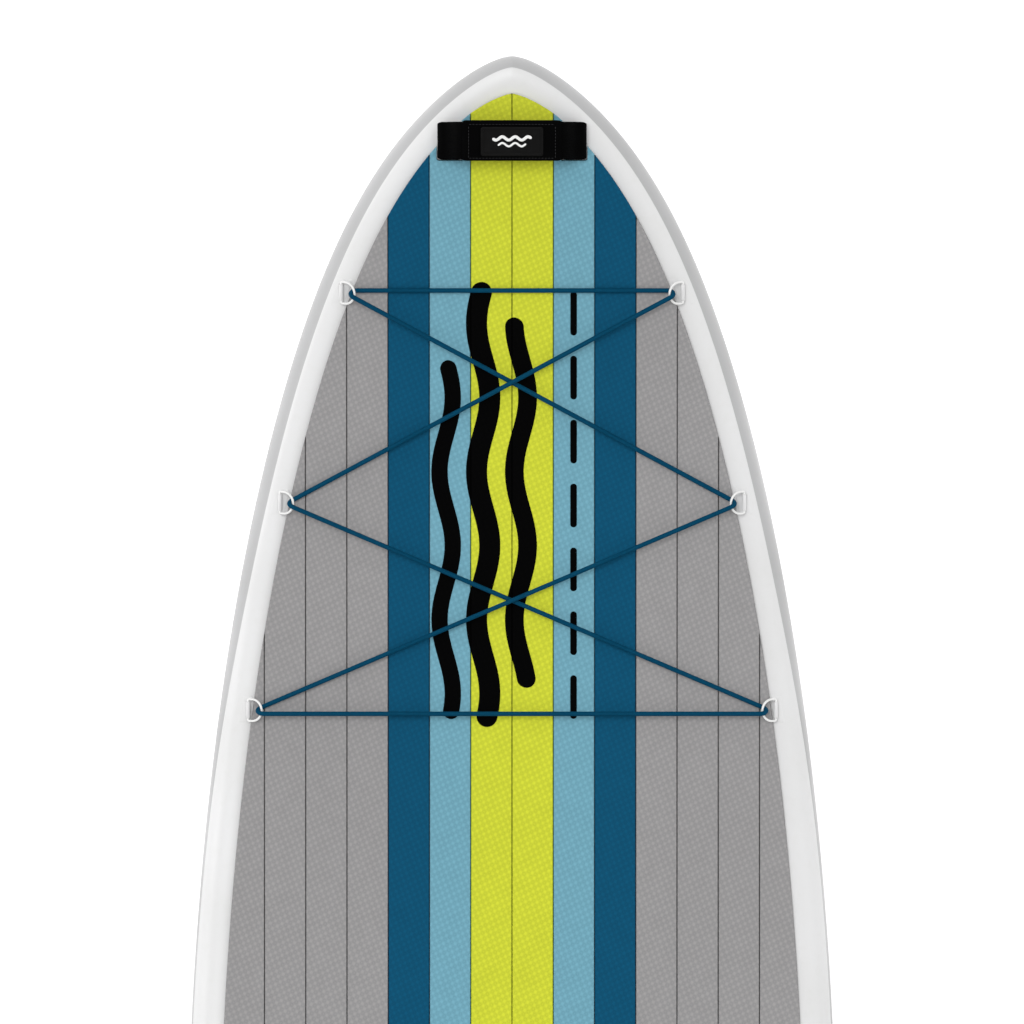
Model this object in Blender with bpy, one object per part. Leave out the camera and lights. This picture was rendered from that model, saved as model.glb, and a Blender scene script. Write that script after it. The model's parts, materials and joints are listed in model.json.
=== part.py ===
"""Inflatable stand up paddleboard, built as the separate pieces it is glued and screwed together from.

+Y points to the nose, +X to the right, +Z up. The origin lies under the middle of the board,
level with the tip of the centre fin. All values are in metres and radians.
"""

import functools
import math

import bmesh
import bpy
import numpy as np
from mathutils import Matrix, Vector

# Hull
LENGTH = 3.25
WIDTH = 0.838
THICKNESS = 0.152
FRONT_RUN = 1.5  # from the nose to the widest station
NOSE_FULLNESS = 0.1  # extra roundness of the outline close to the nose
NOSE_FADE = 0.07
TAIL_POWER = 2.6
FRONT_STEPS = 18
REAR_STEPS = 12
RAIL_REACH = 0.0425  # width of the rounded rail, seen from above
RAIL_POWER = 3.0
NOSE_LIFT, NOSE_LIFT_RUN = 0.17, 1.25
TAIL_LIFT, TAIL_LIFT_RUN = 0.03, 0.45
SKIN = 0.0012
GAP = 0.0003
LAP = SKIN + GAP  # the deck and bottom sheets lie this much proud of the rail tape
LAP_ANGLE = math.radians(8)
LAP_DIP = 0.001  # the tape dips this far where it runs under the sheets' edges
SEAM_FRONT, SEAM_REAR = 0.016, 0.0035  # how far inside the outline the deck sheet ends
SEAM_TURN, SEAM_TURN_RUN = 0.80, 0.09  # where the seam sweeps down the rail
BOTTOM_SEAM_ANGLE = math.radians(40)
SIDE_WALL_DEPTH = 0.0045

# Drop-stitch core
CORE_INSET = 0.06
CORE_CLEARANCE = 0.0035
CLOTH = 0.001
THREAD_ROWS = 9
THREAD_WIDTH = 0.008

# Deck pad
PAD_BASE = 0.002
PLANK = 0.004
PLANK_PITCH = 0.053
GROOVE = 0.0022
PAD_END = 2.93  # from the nose
PAD_TOP = GAP + PAD_BASE + GAP + PLANK

# D-rings and the bungee
WIRE_R = 0.0015
RING_HALF = 0.014
RING_ARM = 0.006
RING_DEPTH = RING_ARM + RING_HALF
RING_STATIONS = ((0.303, 0.219), (0.572, 0.298), (0.8385, 0.339))  # from the nose, from the centreline
TAB_R = 0.0034
TAB_HALF = 0.0105
TAB_BORE_R = 0.0019
PATCH_X, PATCH_Y, PATCH_THICK, PATCH_GAP = 0.0095, 0.017, 0.0012, 0.0005
PATCH_CLEAR = 0.0012
BAR_HEIGHT = PATCH_GAP + PATCH_THICK + 0.0045
CORD_R = 0.003
WRAP_R = CORD_R + WIRE_R + 2 * GAP
CORD_SPREAD = 0.0036  # half the distance between the two strands at a ring
CORD_CLEAR = 0.0013

# Carry handles
WEBBING, WEBBING_THICK = 0.0495, 0.0022
FRONT_HANDLE_STATION = 0.108
FRONT_HANDLE_HALF, CENTRE_HANDLE_HALF = 0.0955, 0.112
STRAP_FOOT = 0.027  # length of strap glued down at each end
STRAP_FOLD = 0.0065
LEAN_FROM = 0.005  # above this a handle stands upright and not square to the deck
HANDLE_RISE = 0.038
SLEEVE_HALF, SLEEVE_Y, SLEEVE_Z, SLEEVE_ROUND = 0.0635, 0.0264, 0.0045, 0.0035
SLEEVE_FIT = 0.0006  # room between the sleeve and the strap inside it
BADGE_X, BADGE_Y, BADGE_THICK, BADGE_ROUND = 0.040, 0.019, 0.0025, 0.003
FOOT_INSET = 0.0165  # from a front patch's middle to the strap's end
FOOT_PATCH_X, FOOT_MARGIN, FOOT_ROUND = 0.0125, 0.002, 0.003
CENTRE_PATCH_MARGIN, CENTRE_PATCH_ROUND = 0.006, 0.006
CENTRE_POCKET_X, CENTRE_POCKET_Y, CENTRE_POCKET_ROUND = 0.016, 0.009, 0.012
POCKET_CLEAR = 0.0012
POCKET_LOW, POCKET_HIGH = -0.004, 0.02

# Valve, turned about its own axis
VALVE_STATION = 3.03
FLANGE_R, BARREL_R, CUP_R, SEAT_R, CHAMBER_R = 0.032, 0.020, 0.016, 0.009, 0.015
FLANGE_BASE, FLANGE_SHOULDER, FLANGE_TOP, FLANGE_BEVEL = 0.0005, 0.0033, 0.0048, 0.0025
CUP_FLOOR, SEAT_TOP, SEAT_BOTTOM, BARREL_END = -0.018, -0.022, -0.025, -0.042
NECK_R, NECK_TOP = 0.018, -0.009
NUT_R, NUT_BEVEL_R, NUT_BORE_R = 0.029, 0.026, 0.0184
NUT_TOP, NUT_BEVEL, NUT_END = -0.0095, -0.013, -0.015
DECK_HOLE_R, CORE_HOLE_R = 0.0206, 0.031
ROD_R, HUB_R, HUB_BORE_R = 0.0024, 0.005, 0.0029
SPOKE_HALF, SPOKE_TOP, SPOKE_DEPTH, SPOKE_BITE, SPOKE_TURN = 0.00125, -0.0185, 0.003, 0.001, 0.13
BUTTON_R, BUTTON_TOP, BUTTON_UNDER, BUTTON_BEVEL = 0.006, -0.0015, -0.005, 0.001
POPPET_R, POPPET_BEVEL_R, POPPET_THICK, POPPET_BEVEL = 0.0122, 0.010, 0.002, 0.001
SEAL_FIT, SEAL_R, SEAL_THICK = 0.0004, 0.012, 0.002
CAP_SEAL_IN, CAP_SEAL_OUT, CAP_SEAL_THICK = 0.0172, 0.0225, 0.0012
CAP_R, CAP_BEVEL_R, CAP_SHOULDER, CAP_THICK = 0.0250, 0.0235, 0.003, 0.004
CAP_SKIRT_IN, CAP_SKIRT_OUT, CAP_SKIRT_END = 0.0130, 0.0154, 0.0008
GRIP_X, GRIP_Y, GRIP_LOW, GRIP_HIGH = 0.019, 0.0028, 0.003, 0.009
SPRING_R, SPRING_WIRE_R, SPRING_TURNS, SPRING_SIDES = 0.0041, 0.0005, 5, 8

# Fins
FIN_STATION = 2.66
FIN_DEPTH = 0.2286
BOX_HEIGHT = 0.022
BOX_GAP = 0.0005
SLOT_X, SLOT_Y = 0.0048, 0.115
GROOVE_X, GROOVE_LOW, GROOVE_HIGH = 0.0082, -0.0125, -0.0085
BOX_PLATE_X, BOX_PLATE_Y, BOX_PLATE_ROUND, BOX_PLATE_THICK = 0.055, 0.16, 0.02, 0.004
BOX_RIDGE_X, BOX_RIDGE_Y, BOX_RIDGE_ROUND, BOX_RIDGE_TOP = 0.018, 0.145, 0.012, -0.003
# The fins' section: (share of the chord, share of the half thickness)
SECTION = ((0.0, 0.0), (0.12, 0.7), (0.38, 1.0), (0.72, 0.6), (1.0, 0.0))
TIP_CHORD, TIP_THIN, FRONT_SWEEP, REAR_SWEEP = 0.02, 0.7, 1.6, 1.2
FIN_FRONT, FIN_REAR, FIN_TIP, FIN_THICK, FIN_BITE = 0.085, -0.080, -0.150, 0.009, 0.003
TONGUE_X, TONGUE_FRONT, TONGUE_REAR, TONGUE_TOP, TONGUE_GAP = 0.0043, 0.075, -0.085, -0.006, 0.0004
TAB_FRONT, TAB_REAR, TAB_LOW, TAB_HIGH = 0.105, 0.070, -0.0205, -0.0165
PIN_Y, PIN_Z, PIN_R, PIN_HALF = -0.075, -0.0105, 0.0018, 0.0077
SCREW_Y, SCREW_HOLE_R = 0.092, 0.0026
NUT_PLATE_X, NUT_PLATE_Y, NUT_PLATE_LOW, NUT_PLATE_HIGH = 0.0077, 0.008, -0.0121, -0.0089
SCREW_R, SCREW_END = 0.0021, -0.0070
HEAD_R, HEAD_TOP, HEAD_EDGE, HEAD_BEVEL_R, HEAD_END = 0.0040, -0.0208, -0.0228, 0.0030, -0.0240
HEX_R = 0.0014
SIDE_FIN_STATION, SIDE_FIN_X, SIDE_FIN_DEPTH = 2.46, 0.19, 0.11
SIDE_FIN_LEAN = math.radians(6)
SIDE_FOOT_X, SIDE_FOOT_Y, SIDE_FOOT_ROUND, SIDE_FOOT_THICK = 0.021, 0.072, 0.018, 0.003
SIDE_FIN_FRONT, SIDE_FIN_REAR, SIDE_FIN_TIP = 0.058, -0.048, -0.075
SIDE_FIN_THICK, SIDE_FIN_BITE = 0.008, 0.002
LEASH_STATION, TOW_STATION = 3.15, 0.10
LEASH_DROOP = math.radians(12)  # how far the leash ring lies below its bar

NOSE_Y = LENGTH / 2
RAIL_RISE = THICKNESS / 2 - LAP
HULL_BOTTOM = FIN_DEPTH + BOX_HEIGHT + BOX_GAP
MID = HULL_BOTTOM + THICKNESS / 2

WHITE = (0.80, 0.80, 0.81)
LIGHT_GREY = (0.45, 0.45, 0.46)
YELLOW = (0.60, 0.66, 0.05)
LIGHT_BLUE = (0.17, 0.40, 0.51)
DARK_BLUE = (0.005, 0.08, 0.16)
GREY = (0.29, 0.28, 0.28)
DARK_FOAM = (0.03, 0.03, 0.035)
BLACK = (0.012, 0.012, 0.013)
STEEL = (0.6, 0.6, 0.62)


# Materials and meshes


def material(name, colour, roughness, metallic=0.0):
    """The material of this name, made when it is first asked for."""
    found = bpy.data.materials.get(name)
    if found:
        return found
    made = bpy.data.materials.new(name)
    made.use_nodes = True
    shader = made.node_tree.nodes["Principled BSDF"]
    shader.inputs["Base Color"].default_value = (*colour, 1.0)
    shader.inputs["Roughness"].default_value = roughness
    shader.inputs["Metallic"].default_value = metallic
    return made


def solid(name, polygons, look, place=None):
    """An object from polygons of points. Points in one place become one, and faces without area go."""
    index = {}
    points = []
    faces = []
    for polygon in polygons:
        face = []
        for point in polygon:
            key = tuple(round(value * 1e7) for value in point)
            if key not in index:
                index[key] = len(points)
                points.append(point)
            if index[key] not in face:
                face.append(index[key])
        if len(face) > 2:
            faces.append(face)
    mesh = bpy.data.meshes.new(name)
    mesh.from_pydata(points, [], faces)
    shape = bmesh.new()
    shape.from_mesh(mesh)
    bmesh.ops.recalc_face_normals(shape, faces=shape.faces)
    shape.to_mesh(mesh)
    shape.free()
    mesh.materials.append(look)
    mesh.shade_smooth()
    mesh.set_sharp_from_angle(angle=math.radians(35))
    made = bpy.data.objects.new(name, mesh)
    bpy.context.scene.collection.objects.link(made)
    if place is not None:
        made.matrix_world = place
    return made


def helper(item):
    """Marks an object as a cutter."""
    item.hide_render = True
    item.display_type = "WIRE"
    return item


def boolean(item, other, operation):
    change = item.modifiers.new(operation.lower(), "BOOLEAN")
    change.operation = operation
    change.object = other
    change.solver = "EXACT"


def between(columns, skip=()):
    """Quads between each column of points and the next, closing back to the first column."""
    quads = []
    for i, column in enumerate(columns):
        if i in skip:
            continue
        following = columns[(i + 1) % len(columns)]
        for j in range(len(column) - 1):
            quads.append((column[j], following[j], following[j + 1], column[j + 1]))
    return quads


def both_sides(polygons):
    """The polygons and their mirror images across the centre plane."""
    return polygons + [tuple((-x, y, z) for x, y, z in polygon) for polygon in polygons]


def extruded(loops, low, high, at):
    """A prism whose ends are made of quads between pairs of points: at(u, v, w) places each point."""
    first, second = loops
    count = len(first)
    polygons = []
    for i in range(count):
        j = (i + 1) % count
        for w in (low, high):
            polygons.append((at(*first[i], w), at(*first[j], w), at(*second[j], w), at(*second[i], w)))
        for loop in loops:
            polygons.append((at(*loop[i], low), at(*loop[j], low), at(*loop[j], high), at(*loop[i], high)))
    return polygons


def block(low, high):
    """The six sides of a box between two corners."""
    (x0, y0, z0), (x1, y1, z1) = low, high
    base = [(x0, y0), (x1, y0), (x1, y1), (x0, y1)]
    sides = [
        ((*base[i], z0), (*base[(i + 1) % 4], z0), (*base[(i + 1) % 4], z1), (*base[i], z1))
        for i in range(4)
    ]
    return sides + [tuple((*p, z) for p in base) for z in (z0, z1)]


def rounded(half_u, half_v, radius, steps=3):
    """A rounded rectangle as points, starting at the corner in the first quadrant."""
    points = []
    for quarter in range(4):
        u = (half_u - radius) * (1, -1, -1, 1)[quarter]
        v = (half_v - radius) * (1, 1, -1, -1)[quarter]
        for step in range(steps + 1):
            angle = math.pi / 2 * (quarter + step / steps)
            points.append((u + radius * math.cos(angle), v + radius * math.sin(angle)))
    return points


def circle(radius, sides, turn=0.0):
    angles = [2 * math.pi * i / sides + turn for i in range(sides)]
    return [(radius * math.cos(a), radius * math.sin(a)) for a in angles]


def plate(name, outline, low, high, look, place=None):
    """A flat plate of one convex outline."""
    polygons = [tuple((x, y, z) for x, y in outline) for z in (low, high)]
    for i, (x, y) in enumerate(outline):
        u, v = outline[(i + 1) % len(outline)]
        polygons.append(((x, y, low), (u, v, low), (u, v, high), (x, y, high)))
    return solid(name, polygons, look, place)


def turned(name, profile, sides, look, place=None):
    """A closed profile of (radius, height) turned about the Z axis."""
    rows = [[(r * c, r * s, z) for r, z in profile] for c, s in circle(1.0, sides)]
    polygons = []
    for i, row in enumerate(rows):
        following = rows[(i + 1) % sides]
        for j in range(len(profile)):
            k = (j + 1) % len(profile)
            polygons.append((row[j], following[j], following[k], row[k]))
    return solid(name, polygons, look, place)


def tube(name, points, radius, closed, look, place=None, resolution=2):
    """A round tube along a line of points."""
    data = bpy.data.curves.new(name, "CURVE")
    data.dimensions = "3D"
    data.bevel_depth = radius
    data.bevel_resolution = resolution
    data.use_fill_caps = not closed
    line = data.splines.new("POLY")
    line.points.add(len(points) - 1)
    for target, point in zip(line.points, points):
        target.co = (*point, 1.0)
    line.use_cyclic_u = closed
    data.materials.append(look)
    made = bpy.data.objects.new(name, data)
    bpy.context.scene.collection.objects.link(made)
    if place is not None:
        made.matrix_world = place
    return made


# The hull's outline, rail and rocker


def outline(q):
    """(x, y) on the right edge. q is 0 at the nose, 1 at the widest station and 2 at the tail."""
    if q <= 1:
        t = 1 - math.cos(math.pi / 2 * q**1.15)
        power = 0.5 + NOSE_FULLNESS * math.exp(-t / NOSE_FADE)
        return WIDTH / 2 * max(0.0, t * (2 - t)) ** power, NOSE_Y - FRONT_RUN * t
    u = math.sin(math.pi / 2 * (q - 1)) ** (2 / TAIL_POWER)
    return WIDTH / 2 * max(0.0, 1 - u**TAIL_POWER) ** (1 / 3), NOSE_Y - FRONT_RUN - (LENGTH - FRONT_RUN) * u


def offset(q, inset):
    """The outline's point at q moved inwards, square to the outline."""
    if q >= 2:
        return 0.0, -NOSE_Y + inset
    step = 1e-4
    x0, y0 = outline(max(q - step, 0.0))
    x1, y1 = outline(min(q + step, 2.0))
    long = math.hypot(x1 - x0, y1 - y0)
    x, y = outline(q)
    return x + inset * (y1 - y0) / long, y - inset * (x1 - x0) / long


@functools.cache
def tip(inset):
    """Where the inset outline meets the centreline near the nose."""
    best = NOSE_Y - inset
    before = offset(0.002, inset)
    for i in range(2, 300):
        after = offset(0.002 * i, inset)
        if before[0] < 0 <= after[0]:
            share = before[0] / (before[0] - after[0])
            best = before[1] + share * (after[1] - before[1])
        before = after
    return best


def inset_point(q, inset):
    """A point of the inset outline, never across the centreline."""
    x, y = offset(q, inset) if q > 0 else (0.0, 0.0)
    if x > 0 or q >= 2:
        return x, y
    return 0.0, tip(inset)


def rocker(y):
    """How far the hull is bent up at y."""
    nose = max(0.0, y - (NOSE_Y - NOSE_LIFT_RUN)) / NOSE_LIFT_RUN
    tail = max(0.0, -NOSE_Y + TAIL_LIFT_RUN - y) / TAIL_LIFT_RUN
    return NOSE_LIFT * nose**2 + TAIL_LIFT * tail**2


def slope(y):
    """The hull's pitch angle at y, positive where it rises towards the nose."""
    return math.atan((rocker(y + 1e-4) - rocker(y - 1e-4)) / 2e-4)


def rail_point(q, angle, depth):
    """A point of the hull's section: angle 0 is the widest edge, a right angle is where the deck is flat."""
    share = RAIL_REACH - (RAIL_REACH - depth) * abs(math.cos(angle)) ** (2 / RAIL_POWER)
    x, y = inset_point(q, round(share, 6))
    rise = (RAIL_RISE - depth) * abs(math.sin(angle)) ** (2 / RAIL_POWER)
    return x, y, MID + math.copysign(rise, angle) + rocker(y)


def seam_angle(q):
    """The rail angle at which the deck sheet ends."""
    turn = (NOSE_Y - outline(q)[1] - SEAM_TURN) / SEAM_TURN_RUN
    inset = SEAM_REAR + (SEAM_FRONT - SEAM_REAR) / (1 + math.exp(turn))
    return math.acos((1 - inset / RAIL_REACH) ** (RAIL_POWER / 2))


STATIONS = [i / FRONT_STEPS for i in range(FRONT_STEPS)]
STATIONS += [1 + i / REAR_STEPS for i in range(REAR_STEPS + 1)]
EDGE = np.array([outline(q) for q in np.linspace(0, 2, 4001)])
PAD_EDGE = [inset_point(q, RAIL_REACH) for q in STATIONS]


def edge_inset(x, y):
    """How far a point lies inside the outline."""
    return float(np.hypot(EDGE[:, 0] - abs(x), EDGE[:, 1] - y).min())


def deck_height(x, y):
    """The height of the deck sheet's outer face."""
    share = max(0.0, (RAIL_REACH - edge_inset(x, y)) / (RAIL_REACH + LAP))
    return MID + THICKNESS / 2 * (1 - share**RAIL_POWER) ** (1 / RAIL_POWER) + rocker(y)


def edge_lean(y):
    """How fast the outline widens towards the tail at y."""
    ahead, behind = (np.interp(-y + step, -EDGE[:, 1], EDGE[:, 0]) for step in (-0.01, 0.01))
    return float(behind - ahead) / 0.02


def column(angle, depth):
    """The hull's points at one rail angle along all stations. angle is a number or a function of q."""
    return [rail_point(q, angle(q) if callable(angle) else angle, depth) for q in STATIONS]


def centre_column(points):
    return [(0.0, y, z) for _, y, z in points]


# Hull pieces


def sheet_over(name, angles, look):
    """The deck or the bottom sheet, from its edge on the rail to the centreline."""
    outer = [column(angle, -LAP) for angle in angles]
    inner = [column(angle, -LAP + SKIN) for angle in reversed(angles)]
    columns = outer + [centre_column(outer[-1]), centre_column(inner[0])] + inner
    return solid(name, both_sides(between(columns, skip=(len(outer),))), look)


def band(name, lines, look):
    """A closed band round the rail, through lines of (rail angle, depth)."""
    outer = [column(angle, depth) for angle, depth in lines]
    inner = [column(angle, depth + SKIN) for angle, depth in reversed(lines)]
    return solid(name, both_sides(between(outer + inner)), look)


def above_seam(steps, share=0.0):
    """A rail angle so many lap angles above the seam, then that share of the way to the flat deck."""

    def angle(q):
        start = seam_angle(q) + steps * LAP_ANGLE
        return start + share * (math.pi / 2 - start)

    return angle


def hull_shell():
    white = material("white_pvc", WHITE, 0.45)
    low = BOTTOM_SEAM_ANGLE
    deck = sheet_over(
        "top_deck_skin",
        [above_seam(0), above_seam(1), above_seam(2), above_seam(2, 0.5), math.pi / 2],
        white,
    )
    sheet_over("bottom_skin", [-low, -low - LAP_ANGLE, math.radians(-68), -math.pi / 2], white)
    tape = [(-low - LAP_ANGLE, LAP_DIP), (-low, LAP_DIP), (math.radians(-16), 0.0), (0.0, 0.0)]
    tape += [(lambda q: seam_angle(q) / 2, 0.0), (above_seam(0), LAP_DIP), (above_seam(1), LAP_DIP)]
    band("rail_tape", tape, material("light_grey_pvc", LIGHT_GREY, 0.5))
    wall = [-low - 2 * LAP_ANGLE, math.radians(-30), 0.0, lambda q: seam_angle(q) * 0.7, above_seam(2)]
    band("side_wall", [(angle, SIDE_WALL_DEPTH) for angle in wall], material("base_cloth", GREY, 0.8))
    return deck


def core_half_width(y):
    edge = [inset_point(q, CORE_INSET) for q in np.linspace(0.01, 1.99, 300)]
    ys = np.array([p[1] for p in edge])[::-1]
    xs = np.array([p[0] for p in edge])[::-1]
    return float(np.interp(y, ys, xs))


def drop_stitch_core():
    """Two base cloths held at the board's thickness by bundles of thread."""
    front, rear = tip(CORE_INSET) - 0.05, -NOSE_Y + CORE_INSET + 0.02
    ys = [front]
    for i in range(THREAD_ROWS):
        middle = front + (rear - front) * (i + 0.5) / THREAD_ROWS
        ys += [middle + THREAD_WIDTH / 2, middle - THREAD_WIDTH / 2]
    ys.append(rear)
    high = THICKNESS / 2 - SKIN - CORE_CLEARANCE
    levels = (high, high - CLOTH, CLOTH - high, -high)
    posts = (0.26, 0.72)
    rows = []
    for y in ys:
        half = core_half_width(y)
        marks = [0.0]
        for share in posts:
            marks += [share * half - THREAD_WIDTH / 2, share * half + THREAD_WIDTH / 2]
        rows.append((y, [*marks, half]))

    def at(row, mark, level):
        y, marks = rows[row]
        return marks[mark], y, MID + levels[level] + rocker(y)

    polygons = []
    last = len(rows) - 1
    edge = len(rows[0][1]) - 1
    for r in range(last):
        for level in (0, 3):
            ends = ((r, 0), (r, edge), (r + 1, edge), (r + 1, 0))
            polygons.append(tuple(at(*end, level) for end in ends))
        for level in (0, 2):
            corners = ((r, level), (r, level + 1), (r + 1, level + 1), (r + 1, level))
            polygons.append(tuple(at(row, edge, down) for row, down in corners))
        for m in range(edge):
            corners = ((r, m), (r, m + 1), (r + 1, m + 1), (r + 1, m))
            if r % 2 == 1 and m % 2 == 1:
                for a, b in zip(corners, corners[1:] + corners[:1]):
                    polygons.append((at(*a, 1), at(*b, 1), at(*b, 2), at(*a, 2)))
            else:
                polygons += [tuple(at(*c, level) for c in corners) for level in (1, 2)]
    for r in (0, last):
        for outer, inner in ((0, 1), (3, 2)):
            strip = [at(r, m, inner) for m in range(edge, -1, -1)]
            polygons.append((at(r, 0, outer), at(r, edge, outer), *strip))
    return solid("drop_stitch_core", both_sides(polygons), material("thread", GREY, 0.9))


# Deck pad


def pad_rows(inner_x, outer_x):
    """(y, x reached) along the pad for a strip between two lines, at the hull's own stations."""
    end = NOSE_Y - PAD_END
    edge = [(y, x) for x, y in PAD_EDGE]
    rows = []
    for (y0, x0), (y1, x1) in zip(edge, edge[1:]):
        marks = [0.0]
        for line in (inner_x, outer_x):
            if (x0 - line) * (x1 - line) < 0:
                marks.append((line - x0) / (x1 - x0))
        if y0 > end > y1:
            marks.append((end - y0) / (y1 - y0))
        for mark in sorted(marks):
            y, x = y0 + (y1 - y0) * mark, x0 + (x1 - x0) * mark
            level = rocker(y0) + (rocker(y1) - rocker(y0)) * mark
            if y >= end - 1e-9 and x >= inner_x - 1e-9:
                rows.append((y, min(x, outer_x), level))
    return rows


def needed(rows):
    """The rows without those that only repeat a straight, level stretch."""
    kept = [rows[0]]
    for before, row, after in zip(rows, rows[1:], rows[2:]):
        straight = abs(before[1] - row[1]) + abs(row[1] - after[1]) < 1e-9
        level = max(before[2], row[2], after[2]) < 1e-9
        if not (straight and level):
            kept.append(row)
    return kept + [rows[-1]]


def strip_piece(name, inner_x, outer_x, low, high, look, side):
    """A strip of the pad on one side of the board, side being 1 or -1."""
    deck = MID + THICKNESS / 2
    columns = [[], [], [], []]
    rows = needed(pad_rows(inner_x, outer_x))
    for y, x, level in rows:
        columns[0].append((side * inner_x, y, deck + level + low))
        columns[1].append((side * x, y, deck + level + low))
        columns[2].append((side * x, y, deck + level + high))
        columns[3].append((side * inner_x, y, deck + level + high))
    ends = [tuple(c[i] for c in columns) for i in (0, -1)]
    return solid(name, between(columns) + ends, look)


def deck_pad():
    """The dark base sheet and its planks. It gives back the pieces that the handles' pockets cut."""
    base_top = GAP + PAD_BASE
    rows = pad_rows(0.0, WIDTH)
    deck = MID + THICKNESS / 2
    low = [(x, y, deck + level + GAP) for y, x, level in rows]
    high = [(x, y, deck + level + base_top) for y, x, level in rows]
    columns = [centre_column(low), low, high, centre_column(high)]
    ends = [tuple(c[-1] for c in columns)]
    walls = between(columns, skip=(3,)) + ends
    base = solid("deck_pad_base", both_sides(walls), material("dark_foam", DARK_FOAM, 0.9))
    looks = [
        ("yellow", material("yellow_foam", YELLOW, 0.85)),
        ("light_blue", material("light_blue_foam", LIGHT_BLUE, 0.85)),
        ("dark_blue", material("dark_blue_foam", DARK_BLUE, 0.85)),
    ]
    looks += [(f"grey_{i}", material("grey_foam", GREY, 0.85)) for i in range(1, 5)]
    planks = {}
    for number, (colour, look) in enumerate(looks):
        inner = number * PLANK_PITCH + GROOVE / 2
        outer = (number + 1) * PLANK_PITCH - GROOVE / 2 if number < len(looks) - 1 else WIDTH
        for side, word in ((-1, "left"), (1, "right")):
            name = f"plank_{colour}_{word}"
            planks[name] = strip_piece(name, inner, outer, base_top + GAP, PAD_TOP, look, side)
    return base, planks


# Carry handles


def on_deck(x, y, height=0.0, turn=0.0):
    """A place on the deck, pitched with it: local X across, Y towards the nose, Z square to the deck."""
    pitch = slope(y)
    base = Vector((x, y, deck_height(x, y)))
    up = Vector((0.0, -math.sin(pitch), math.cos(pitch)))
    spin = Matrix.Rotation(pitch, 4, "X") @ Matrix.Rotation(turn, 4, "Z")
    return Matrix.Translation(base + up * height) @ spin


def handle_path(half):
    """The strap's middle line from one foot, round its fold and over to the other foot."""
    foot = PATCH_GAP + PATCH_THICK + GAP + WEBBING_THICK / 2
    turn = half - STRAP_FOLD - 0.001
    side = [(half - STRAP_FOOT, foot), (turn, foot)]
    for step in range(1, 5):
        angle = math.pi * (step / 5 - 0.5)
        side.append((turn + STRAP_FOLD * math.cos(angle), foot + STRAP_FOLD * (1 + math.sin(angle))))
    side += [(turn - 0.0055, foot + 2 * STRAP_FOLD + 0.001), (SLEEVE_HALF + 0.007, HANDLE_RISE - 0.004)]
    side += [(SLEEVE_HALF + 0.001, HANDLE_RISE)]
    return side + [(-x, z) for x, z in reversed(side)]


def strap(name, path, width, thickness, look):
    """Flat webbing along a path of (x, z)."""
    over, under = [], []
    for i, (x, z) in enumerate(path):
        x0, z0 = path[max(i - 1, 0)]
        x1, z1 = path[min(i + 1, len(path) - 1)]
        long = math.hypot(x1 - x0, z1 - z0)
        u, v = (z1 - z0) / long * thickness / 2, -(x1 - x0) / long * thickness / 2
        over.append((x + u, z + v))
        under.append((x - u, z - v))
    columns = []
    for line, y in ((over, -width / 2), (over, width / 2), (under, width / 2), (under, -width / 2)):
        columns.append([(x, y, z) for x, z in line])
    ends = [tuple(c[i] for c in columns) for i in (0, -1)]
    return solid(name, between(columns) + ends, look)


def carry_handle(prefix, half, place):
    """A strap and its sleeve. It gives back the sleeve's place."""
    lean = math.tan(slope(place.translation.y))
    shear = Matrix.Identity(4)
    shear[1][2], shear[1][3] = lean, -lean * LEAN_FROM
    webbing = material("black_webbing", BLACK, 0.8)
    made = strap(f"{prefix}_strap", handle_path(half), WEBBING, WEBBING_THICK, webbing)
    made.data.transform(place @ shear)
    above = place @ Matrix.Translation((0.0, lean * (HANDLE_RISE - LEAN_FROM), 0.0))
    outer = rounded(SLEEVE_Y, SLEEVE_Z, SLEEVE_ROUND)
    inner = rounded(WEBBING / 2 + SLEEVE_FIT, WEBBING_THICK / 2 + SLEEVE_FIT, SLEEVE_FIT * 0.8)
    sleeve = extruded((outer, inner), -SLEEVE_HALF, SLEEVE_HALF, lambda u, v, w: (w, u, HANDLE_RISE + v))
    solid(f"{prefix}_sleeve", sleeve, material("black_neoprene", BLACK, 0.7), above)
    return above


def pocket(base, planks, place, outline_points):
    """Cuts the pad away over an outline, down to the deck sheet."""
    look = material("cutter", GREY, 1.0)
    cutter = helper(plate("pocket_cutter", outline_points, POCKET_LOW, POCKET_HIGH, look, place))
    boolean(base, cutter, "DIFFERENCE")
    for plank in planks:
        boolean(plank, cutter, "DIFFERENCE")


def front_handle(base, planks):
    place = on_deck(0.0, NOSE_Y - FRONT_HANDLE_STATION)
    above = carry_handle("front_handle", FRONT_HANDLE_HALF, place)
    top = HANDLE_RISE + SLEEVE_Z
    badge = rounded(BADGE_X, BADGE_Y, BADGE_ROUND)
    rubber = material("black_rubber", BLACK, 0.5)
    plate("front_handle_badge", badge, top + GAP, top + BADGE_THICK, rubber, above)
    white = material("white_pvc", WHITE, 0.45)
    patch = rounded(FOOT_PATCH_X, WEBBING / 2 - FOOT_MARGIN, FOOT_ROUND, 2)
    hole = rounded(FOOT_INSET + POCKET_CLEAR, WEBBING / 2 + POCKET_CLEAR, FOOT_ROUND, 2)
    for side, word in ((-1, "left"), (1, "right")):
        spot = place @ Matrix.Translation((side * (FRONT_HANDLE_HALF - FOOT_INSET), 0.0, 0.0))
        plate(f"front_handle_patch_{word}", patch, PATCH_GAP, PATCH_GAP + PATCH_THICK, white, spot)
        cut = [planks[f"plank_{colour}_{word}"] for colour in ("light_blue", "dark_blue")]
        pocket(base, cut, spot, hole)


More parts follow.
